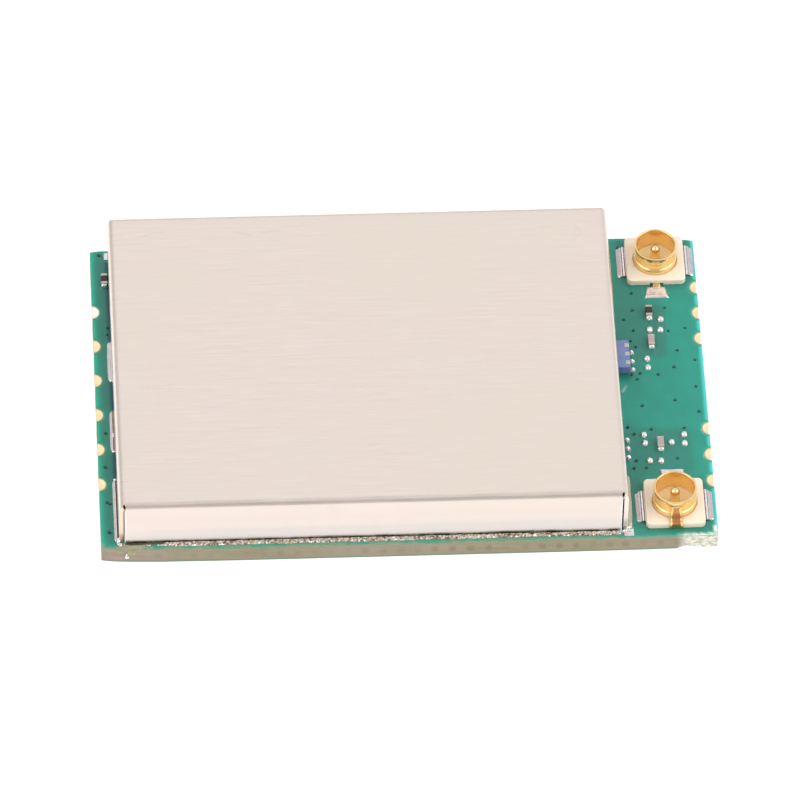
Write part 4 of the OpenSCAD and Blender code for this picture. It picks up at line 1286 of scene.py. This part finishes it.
def can_solder():
    g = Geo()
    front = CY0 - 0.105
    x_end = CX1 + 0.1
    # frozen paste along the front wall, thinner at the left end
    g.add(*bead((CX0 + 1.9, front), (x_end - 0.3, front), (0, -1), 0.20, 0.05, T, 2.0, step=0.035, k=12, grain=0.022, wave=0.12, concave=0.1))
    # a dark line at the wall's foot, part flux and part painted contact shadow
    g.add(*bead((CX0 + 0.4, CY0 - 0.03), (x_end - 0.2, CY0 - 0.03), (0, -1), 0.085, 0.035, T, 3.0, step=0.05, k=5, grain=0.006, wave=0.2), 3)
    g.add(*bead((CX0 + 0.25, front), (CX0 + 2.3, front), (0, -1), 0.09, 0.04, T, 4.0, step=0.035, k=8, grain=0.016, wave=0.12, concave=0.3), 3)
    for i, x in enumerate((2.0, 2.6, 3.3, 4.4)):
        g.add(*dome(x, front - 0.1, T, 0.16, 0.06, 0.03, 2.0, 90 + i, 0.25, n=18, k=4))
    # drops at both ends of the front wall, and a run down the board's edge at the left one
    g.add(*dome(CX0 - 0.02, CY0 - 0.04, T, 0.12, 0.2, 0.26, 2.2, 3, 0.16), 2)
    g.add(*dome(CX0 + 0.05, CY0 - 0.16, T, 0.10, 0.11, 0.10, 2.2, 6, 0.2), 2)
    g.add(*rbox((CX0 + 0.24, 0.035, 0.24), (CX0 + 0.44, 0.15, 0.40), 0.05, 3), 2)
    g.add(*rbox((CX0 + 0.28, 0.045, 0.38), (CX0 + 0.36, 0.15, 0.56), 0.035, 3), 2)
    g.add(*rbox((CX0 + 0.38, 0.04, 0.46), (CX0 + 0.72, 0.16, 0.74), 0.06, 3), 4)
    g.add(*rbox((CX0 - 0.1, 0.06, 0.60), (CX0 + 0.2, 0.2, 0.74), 0.05, 3), 4)
    # corner pad and lumps at the right end
    g.add(*rbox((CX1 - 0.16, 0.15, T - 0.004), (CX1 + 0.27, CY0 + 0.15, T + 0.03), 0.02), 5)
    g.add(*dome(18.85, CY0 - 0.085, T, 0.10, 0.06, 0.16, 2.2, 55, 0.2, n=20, k=5), 3)
    for k, (x, y, r, q, h) in enumerate((
        (-0.12, -0.13, 0.13, 0.08, 0.12), (0.04, -0.05, 0.14, 0.13, 0.24), (0.13, 0.06, 0.13, 0.14, 0.30),
        (0.10, -0.13, 0.09, 0.06, 0.09), (0.17, 0.19, 0.09, 0.12, 0.20), (-0.26, -0.12, 0.12, 0.05, 0.07),
    )):
        g.add(*dome(CX1 + x, CY0 + y, T, r, q, h, 2.0, 5 + k, 0.14, n=24, k=6), 2)
    # left wall: a thin bright line, with a dark line between it and the sheet that is part flux and part painted
    # contact shadow
    for k, (a, b) in enumerate([(CY0, 4.1), (9.8, 12.1)]):
        g.add(*bead((CX0, a), (CX0, b), (-1, 0), 0.10, 0.04, T, 13.0 + k, step=0.08, k=5, grain=0.006, wave=0.3), 3 if k == 0 else 5)
        g.add(*bead((CX0 - 0.085, a), (CX0 - 0.085, b), (-1, 0), 0.105, 0.055, T, 10.0 + k, step=0.06, k=6, grain=0.008, wave=0.3), 2)
    g.add(*bead((CX0, 5.7), (CX0, 8.1), (-1, 0), 0.13, 0.05, T, 17.0, step=0.08, k=5, grain=0.006, wave=0.3), 6)
    g.add(*bead((CX0 - 0.1, 5.72), (CX0 - 0.1, 8.08), (-1, 0), 0.10, 0.06, T, 18.0, step=0.06, k=6, grain=0.008, wave=0.5), 5)
    g.add(*rbox((CX0 - 0.15, 6.5, T), (CX0 - 0.01, 6.75, T + 0.09), 0.03, 3), 5)
    for x, y in ((0.7, 4.08), (0.7, 5.7), (0.72, 9.8)):
        g.add(*dome(x, y, T, 0.085, 0.08, 0.1, 2.0, x + y, 0.08, n=20, k=5), 2)
    for k, (a, b) in enumerate([(CY0 + 0.1, 3.7), (6.7, 8.85), (11.85, CY1 - 0.3)]):
        reach = (0.27, 0.14, 0.20)[k]
        g.add(*bead((CX1, a), (CX1, b), (1, 0), reach, 0.06, T, 20.0 + k, step=0.06, k=7, grain=0.004, wave=0.4, concave=0.5), 1)
    g.add(*rbox((0.62, 16.95, T - 0.004), (CX0 + 0.05, 17.35, T + 0.02), 0.012), 5)
    return make(g, "shield_solder_joint", [mat_solder, mat_land, mat_pale, mat_flux_shade, mat_resin, mat_joint, mat_brown], ["shield_solder"], 50)


can_solder()

# ------------------------------------------------------------------ antenna sockets
ins = {"w": rs_hi[0] - rs_lo[0]}


def cut(ob, lo, hi):
    """Cuts a box, given in millimetres in the corner frame, out of a piece."""
    g = Geo()
    g.add(*rbox(lo, hi, 0.01, 1))
    me = bpy.data.meshes.new("cutter")
    me.from_pydata(((np.array(g.v) - OFF) * 0.001).tolist(), [], g.f)
    bm = bmesh.new()
    bm.from_mesh(me)
    bmesh.ops.remove_doubles(bm, verts=bm.verts, dist=1e-8)
    bmesh.ops.recalc_face_normals(bm, faces=bm.faces)
    bm.to_mesh(me)
    bm.free()
    tool = bpy.data.objects.new("cutter", me)
    bpy.context.scene.collection.objects.link(tool)
    mod = ob.modifiers.new("cut", "BOOLEAN")
    mod.operation = "DIFFERENCE"
    mod.solver = "EXACT"
    mod.object = tool
    dg = bpy.context.evaluated_depsgraph_get()
    dg.update()
    done = bpy.data.meshes.new_from_object(ob.evaluated_get(dg))
    ob.modifiers.clear()
    old = ob.data
    ob.data = done
    bpy.data.meshes.remove(old)
    bpy.data.objects.remove(tool)
    bpy.data.meshes.remove(me)


def rounded_square(half, r, n=7):
    pts = []
    for k, (sx, sy) in enumerate(((1, 1), (-1, 1), (-1, -1), (1, -1))):
        for t in np.linspace(k * math.pi / 2, (k + 1) * math.pi / 2, n):
            pts.append((sx * (half - r) + r * math.cos(t), sy * (half - r) + r * math.sin(t)))
    return np.array(pts)


def socket(name, centre, turn):
    cx, cy = centre
    sg = -1.0 if turn else 1.0

    def place(x, y, z):
        return (cx + sg * x, cy + sg * y, T + z)

    # moulded base: rounded square with a turned well
    g = Geo()
    half, rr, h = 1.3, 0.22, 0.32
    n = 16
    steps = [(0.02, 0.0), (0.0, 0.02), (0.0, h - 0.045), (0.006, h - 0.022), (0.02, h - 0.008), (0.045, h)]
    loops = []
    for inset, z in steps:
        sq = rounded_square(half - inset, max(rr - inset, 0.02), 9)
        loops.append([(p[0], p[1], z) for p in sq])
    m = len(loops[0])
    v = [p for lp in loops for p in lp]
    f = [
        (k * m + i, k * m + (i + 1) % m, (k + 1) * m + (i + 1) % m, (k + 1) * m + i)
        for k in range(len(loops) - 1)
        for i in range(m)
    ]
    g.add(v, f)
    outer_top = np.array([(p[0], p[1]) for p in loops[-1]])
    hole = np.array(ring_pts(0, 0, 1.0, 72))
    mids = ring_pts(0, 0, 1.05, 72, 0.5)
    v2, tri = cdt([outer_top, hole], mids, lambda c: inside(outer_top, c) & ~inside(hole, c))
    g.add([(x, y, h) for x, y in v2], tri.tolist())
    g.add(
        [(p[0], p[1], z) for z in (h, 0.0) for p in hole],
        [(i, 72 + i, 72 + (i + 1) % 72, (i + 1) % 72) for i in range(72)],
    )
    low = np.array([(p[0], p[1]) for p in loops[0]])
    v2, tri = cdt([low, hole], [], lambda c: inside(low, c) & ~inside(hole, c))
    g.add([(x, y, 0.0) for x, y in v2], tri[:, ::-1].tolist())
    # floor of the well, tinted orange as painted light bounced from the gold shell
    v, f = lathe([(0.2, 0.02), (0.2, h - 0.01), (0.215, h), (0.82, h), (0.838, h - 0.004), (0.838, 0.02)], 0, 0, 0, 72)
    g.add(v, f, warm=1.0)
    g.moved(place)
    base = make(g, name + "_insulator_moulding", [mat_cream], [name + "_insulator"], 32)
    lo = place(-0.3, -1.6, -0.1)
    hi = place(0.3, -1.12, 0.14)
    cut(base, (min(lo[0], hi[0]), min(lo[1], hi[1]), lo[2]), (max(lo[0], hi[0]), max(lo[1], hi[1]), hi[2]))
    base.data.shade_smooth()
    base.data.set_sharp_from_angle(angle=math.radians(32))

    # shell: turned wall; its tabs and strap are added in socket_shell
    g = Geo()
    prof = [
        (0.842, 0.03), (0.842, 0.6), (0.842, 1.2), (0.845, 1.226), (0.856, 1.243), (0.872, 1.25), (0.912, 1.25),
        (0.928, 1.245), (0.938, 1.232), (0.94, 1.215), (0.94, 1.05), (0.938, 1.032), (0.93, 1.021), (0.915, 1.012),
        (0.892, 0.995), (0.884, 0.97), (0.88, 0.88), (0.88, 0.82), (0.88, 0.72), (0.88, 0.62), (0.882, 0.58), (0.888, 0.556), (0.900, 0.546), (0.914, 0.538), (0.930, 0.524), (0.945, 0.505),
        (0.957, 0.482), (0.966, 0.455), (0.972, 0.425), (0.974, 0.39), (0.974, 0.345), (0.983, 0.325), (0.983, 0.03),
    ]
    v, f = lathe(prof, 0, 0, 0, 120)
    g.add(v, f, 0)
    return g, place, base


def socket_shell(g, place, name, rear):
    w = 0.3
    # the strap's path in (y, z) with the outward direction of its face at each step
    path = [
        (0.885, 0.99, 1.0, 0.1, 0.30), (0.885, 0.86, 1.0, 0.0, 0.22), (0.895, 0.72, 1.0, 0.1, 0.24), (0.93, 0.60, 0.9, 0.3, 0.27),
        (1.0, 0.48, 0.8, 0.55, 0.3), (1.05, 0.40, 0.7, 0.7, 0.3), (1.12, 0.345, 0.4, 0.9, 0.3), (1.2, 0.322, 0.1, 1.0, 0.3),
        (1.27, 0.318, 0.25, 0.95, 0.3), (1.30, 0.30, 0.7, 0.7, 0.3), (1.305, 0.26, 1.0, 0.2, 0.3), (1.305, 0.14, 1.0, 0.0, 0.3), (1.305, 0.03, 1.0, 0.0, 0.3),
    ]
    rows, mats_rows = [], []
    v, f, m = [], [], []
    for y, z, ny, nz, half in path:
        q = math.hypot(ny, nz)
        ny, nz = ny / q, nz / q
        sec = [(-half, -0.02), (-half, 0.04), (-half + 0.02, 0.07), (-half + 0.06, 0.078), (-half + 0.115, 0.06), (-half + 0.135, 0.025),
               (0.0, 0.018), (half - 0.135, 0.025), (half - 0.115, 0.06), (half - 0.06, 0.078), (half - 0.02, 0.07), (half, 0.04), (half, -0.02)]
        rows.append([len(v) + i for i in range(len(sec))])
        v += [(sx, y + ny * o, z + nz * o) for sx, o in sec]
    k = len(rows[0])
    dark_cols = {4, 5, 6, 7}
    for i in range(len(rows) - 1):
        for j in range(k):
            jj = (j + 1) % k
            f.append((rows[i][j], rows[i + 1][j], rows[i + 1][jj], rows[i][jj]))
            m.append(2 if (j in dark_cols and 0 < i < len(rows) - 2) else 0)
    f.append(tuple(rows[0]))
    m.append(0)
    f.append(tuple(rows[-1][::-1]))
    m.append(0)
    n0 = len(g.v)
    g.add(v, f, m)
    # tabs on both sides, tinned; the middle strip is a painted highlight in a brighter copy of the tin, and the dark
    # lines between strips are part flux and part painted shade
    for s in (-1, 1):
        for a, b, z1, mi in ((1.25, 1.345, 0.10, 1), (1.34, 1.365, 0.05, 4), (1.36, 1.455, 0.125, 3), (1.45, 1.472, 0.05, 4), (1.465, 1.56, 0.075, 1)):
            a, b = sorted((s * a, s * b))
            g.add(*rbox((a, -0.8, 0.002), (b, 0.92, z1), min(0.03, (b - a) * 0.35), 3), mi)
    g.moved(place)
    return make(g, name + "_shell_ring", [mat_gold, mat_tab, mat_gold_dark, mat_tab_tin_highlight, mat_flux_shade], [name + "_shell"], 35)


def socket_pin(place, name):
    g = Geo()
    r = 0.215
    prof = [(0.0, 0.0), (0.3, 0.0), (0.3, 0.1), (0.2, 0.12), (0.2, 0.325), (r, 0.36), (r, 0.9)]
    prof += [(r * math.cos(t), 0.915 + r * math.sin(t)) for t in np.linspace(0, math.pi / 2, 12)[:-1]]
    prof += [(0.0, 0.915 + r)]
    v, f = lathe(prof, 0, 0, 0, 48, closed=False)
    g.add(v, f)
    # terminal out of the moulding, stepping down to its joint
    g.add(*rbox((-0.165, -1.6, 0.0), (0.165, -0.15, 0.09), 0.02))
    g.add(*rbox((-0.17, -1.47, 0.0), (0.17, -0.15, 0.125), 0.025))
    g.moved(place)
    return make(g, name + "_pin_contact", [mat_pin], [name + "_pin"], 40)


def socket_solder(place, name, seed):
    g = Geo()
    # signal joint: a saddle, high against the terminal and spread wide at its outer end
    nx, ny = 22, 14
    v, f = [], []
    for j in range(ny + 1):
        t = j / ny
        y = -1.45 - 0.62 * t
        half = 0.42 + 0.12 * t
        for i in range(nx + 1):
            q = -1 + 2 * i / nx
            edge = min(1.0, (1 - abs(q)) / 0.2) * min(1.0, (1 - t) / 0.16) * min(1.0, t / 0.06 + 0.35)
            edge = math.sqrt(max(0.0, 1 - (1 - edge) ** 2))
            z = 0.052 + 0.05 * math.exp(-((q / 0.45) ** 2)) * (1 - smooth(0.0, 0.55, t)) + 0.022 * smooth(0.55, 0.9, t)
            z -= 0.018 * math.exp(-(((q - 0.1) / 0.2) ** 2)) * smooth(0.4, 0.8, t)
            z *= 1 + 0.08 * fbm(q * 1.5, t * 2, 0, 2, seed)
            v.append((q * half - 0.03, y + 0.012 * fbm(q * 3, t, 0, 2, seed + 1) * t, z * edge))
    n0 = len(v)
    v += [(x, y, -0.002) for x, y, z in v]
    for j in range(ny):
        for i in range(nx):
            a = j * (nx + 1) + i
            f.append((a, a + 1, a + nx + 2, a + nx + 1))
            f.append((n0 + a, n0 + a + nx + 1, n0 + a + nx + 2, n0 + a + 1))
    ring = [i for i in range(nx + 1)] + [j * (nx + 1) + nx for j in range(1, ny + 1)]
    ring += [ny * (nx + 1) + i for i in range(nx - 1, -1, -1)] + [j * (nx + 1) for j in range(ny - 1, 0, -1)]
    for i, a in enumerate(ring):
        b = ring[(i + 1) % len(ring)]
        f.append((a, n0 + a, n0 + b, b))
    g.add(v, f, 1)
    for s in (-1, 1):
        g.add(*bead((s * 1.55, -0.8), (s * 1.55, 0.92), (s, 0), 0.15, 0.07, 0.0, seed + s, step=0.06, k=8, grain=0.002, wave=0.3, concave=0.6, taper=0.08), 2)
        g.add(*dome(s * 1.62, (0.86 if seed < 35 else -0.8), 0, 0.07, 0.06, 0.08, 2.0, seed + 3 * s, 0.12, n=22, k=6))
    g.moved(place)
    return make(g, name + "_solder_joint", [mat_pad, mat_joint, mat_tab], [name + "_solder"], 50)


for name, centre, turn in (("rear_socket", RS, False), ("front_socket", FS, True)):
    g, place, base = socket(name, centre, turn)
    g2 = Geo()
    g2.v, g2.f, g2.m, g2.a = g.v, g.f, g.m, g.a
    socket_shell(g2, place, name, not turn)
    socket_pin(place, name)
    socket_solder(place, name, 31.0 if turn else 37.0)

# ------------------------------------------------------------------ filters
solder_g = Geo()
for name in ("rear_band_filter", "front_band_filter"):
    lo, hi = corner(name)
    cx, cy = (lo[0] + hi[0]) / 2, (lo[1] + hi[1]) / 2
    h = hi[2] - T
    g = Geo()
    rear = name.startswith("rear")
    g.add(*rbox((cx - 0.385, cy - 0.795, T + 0.02), (cx + (0.385 if rear else 0.30), cy + 0.795, T + h - 0.012), 0.035, 3))
    for s in (-1, 1):
        for i in (-1, 0, 1):
            a, b = sorted((cx + s * 0.17, cx + s * (0.4 if rear else 0.36)))
            g.add(*rbox((a, cy + i * 0.5 - 0.125, T), (b, cy + i * 0.5 + 0.125, T + h), 0.045, 3), 1)
            reach = 0.50 if rear else 0.56
            solder_g.add(*dome(cx + s * reach, cy + i * 0.5 - (0.14 if rear else 0.06), T, 0.165, 0.135, 0.26, 1.8, 40 + i + s * 3 + cy, 0.06))
    v, f = lathe([(0.0, 0.0), (0.085, 0.0), (0.085, 0.006), (0.07, 0.009), (0.0, 0.009)], cx - 0.24, cy + 0.42, T + h - 0.014, 24, closed=False)
    g.add(v, f, 2)
    make(g, name + "_body", [mat_blue, mat_term, mat_dot], [name], 35)
make(solder_g, "band_filter_joints", [mat_pad], ["band_filter_solder"], 50)

# ------------------------------------------------------------------ small parts
chip_solder = Geo()


def chip(g, cx, cy, length, width, height, cap, body, cap_mi, z0=T):
    """A chip part lying along Y, with bright wrapped ends."""
    g.add(*rbox((cx - width / 2 + 0.008, cy - length / 2 + 0.03, z0 + 0.01), (cx + width / 2 - 0.008, cy + length / 2 - 0.03, z0 + height - 0.012), 0.02, 2), body)
    for s in (-1, 1):
        a, b = sorted((cy + s * length / 2, cy + s * (length / 2 - cap)))
        g.add(*rbox((cx - width / 2, a, z0 + 0.002), (cx + width / 2, b, z0 + height), 0.035, 3), cap_mi)


def chip_joints(cx, cy, length, width, height, seed, front=0.17, back=0.14):
    for s, r in ((-1, front), (1, back)):
        v, f = dome(cx, cy + s * (length / 2 - 0.02), T, width * 0.51, r, height * (0.8 if s < 0 else 0.5), 3.2, seed + s, 0.03, square=5.0, n=28, k=7)
        chip_solder.add(v, f)


lo, hi = corner("feed_inductor")
c = ((lo[0] + hi[0]) / 2, (lo[1] + hi[1]) / 2)
g = Geo()
chip(g, *c, 0.6, 0.3, 0.3, 0.13, 0, 1)
chip_joints(*c, 0.6, 0.3, 0.3, 51, 0.2, 0.12)
make(g, "feed_inductor_body", [mat_black, mat_term], ["feed_inductor"], 35)
g = Geo()
for i, (lo, hi) in enumerate(islands("feed_capacitors")):
    c = ((lo[0] + hi[0]) / 2, (lo[1] + hi[1]) / 2)
    chip(g, *c, 0.6, 0.3, 0.3, 0.13, 0, 1)
    chip_joints(*c, 0.6, 0.3, 0.3, 60 + i, 0.16, 0.13)
make(g, "feed_capacitor_bodies", [mat_mauve, mat_term], ["feed_capacitors"], 35)
lo, hi = corner("edge_chip")
c = ((lo[0] + hi[0]) / 2, (lo[1] + hi[1]) / 2)
g = Geo()
chip(g, *c, 0.6, 0.3, 0.3, 0.14, 0, 1)
chip_joints(*c, 0.6, 0.3, 0.3, 70, 0.1, 0.08)
make(g, "edge_chip_body", [mat_black, mat_term], ["edge_chip"], 35)
make(chip_solder, "strip_chip_joints", [mat_pad], ["strip_chip_solder"], 50)

g = Geo()
for i, (lo, hi) in enumerate(islands("bare_pad_solder")):
    cx, cy = (lo[0] + hi[0]) / 2, (lo[1] + hi[1]) / 2
    g.add(*dome(cx, cy - 0.045, T, 0.155, 0.175, 0.17, 2.0, 80 + i, 0.10, square=2.4))
make(g, "bare_pad_domes", [mat_pad], ["bare_pad_solder"], 50)

# ------------------------------------------------------------------ parts under the can
slots = {s["node"]: s["material_slot"] for s in frame["record"]["subparts"]}
replaced = {
    "circuit_board", "edge_contacts_left", "edge_contacts_right_rear", "edge_contacts_right_front", "shield_can", "shield_solder",
    "rear_band_filter", "front_band_filter", "band_filter_solder", "feed_inductor", "feed_capacitors", "edge_chip",
    "strip_chip_solder", "bare_pad_solder",
} | {p + s for p in ("rear_socket_", "front_socket_") for s in ("insulator", "shell", "pin", "solder")}
for node, ob in frame["nodes"].items():
    if node in replaced:
        continue
    ob.data.materials.clear()
    ob.data.materials.append(mat_inner[slots[node]])

# ------------------------------------------------------------------ floor and light


def floor():
    me = bpy.data.meshes.new("pale_floor")
    s = 1.6
    me.from_pydata([(-s, -s, -0.00003), (s, -s, -0.00003), (s, s, -0.00003), (-s, s, -0.00003)], [], [(0, 1, 2, 3)])
    ob = bpy.data.objects.new("pale_floor", me)
    bpy.context.scene.collection.objects.link(ob)
    m, nt, bs, vec = principled("white_floor")
    fac = noise_fac(nt, vec, 6, 2, 0.5)
    nt.links.new(ramp(nt, fac, [(0.3, (0.05, 0.05, 0.05)), (0.7, (0.055, 0.055, 0.055))]), bs.inputs["Base Color"])
    bs.inputs["Roughness"].default_value = 0.9
    bs.inputs["Specular IOR Level"].default_value = 0.0
    bs.inputs["Emission Color"].default_value = (1.0, 1.0, 1.0, 1)
    bs.inputs["Emission Strength"].default_value = 1.12
    me.materials.append(m)


floor()

world = bpy.data.worlds.new("studio")
bpy.context.scene.world = world
world.use_nodes = True
wn = world.node_tree
wn.nodes.clear()
w_out = wn.nodes.new("ShaderNodeOutputWorld")
w_bg = wn.nodes.new("ShaderNodeBackground")
wn.links.new(w_bg.outputs[0], w_out.inputs[0])
w_tc = wn.nodes.new("ShaderNodeTexCoord")


def lobe(direction, cos_out, cos_in, value):
    """A soft light patch round a direction of the studio."""
    d = Vector(direction).normalized()
    n = wn.nodes.new("ShaderNodeVectorMath")
    n.operation = "DOT_PRODUCT"
    wn.links.new(w_tc.outputs["Generated"], n.inputs[0])
    n.inputs[1].default_value = d
    return math_node(wn, "MULTIPLY", ranged(wn, n.outputs["Value"], cos_out, cos_in), value)


def elev(az, el):
    a, e = math.radians(az), math.radians(el)
    return (math.sin(a) * math.cos(e), math.cos(a) * math.cos(e), math.sin(e))


# az 0 looks towards +Y, the back of the module
def cone(az, el, out, inn, value):
    return lobe(elev(az, el), math.cos(math.radians(out)), math.cos(math.radians(inn)), value)


total = 0.62
for patch in (
    cone(0, 50, 38, 8, 0.33),       # pale wall behind
    cone(62, 16, 48, 12, 0.20),     # its brighter right end
    cone(-106, 46, 30, 16, 2.1),    # left soft box
    cone(106, 46, 30, 16, 2.1),     # right soft box
    cone(180, 2, 50, 12, -0.05),    # dim side towards the room
    cone(180, 44, 18, 7, -0.13),    # where the camera stood
):
    total = math_node(wn, "ADD", patch, total)
total = math_node(wn, "MAXIMUM", total, 0.0)
wn.links.new(total, w_bg.inputs["Strength"])
w_bg.inputs["Color"].default_value = (1.0, 1.0, 1.0, 1)
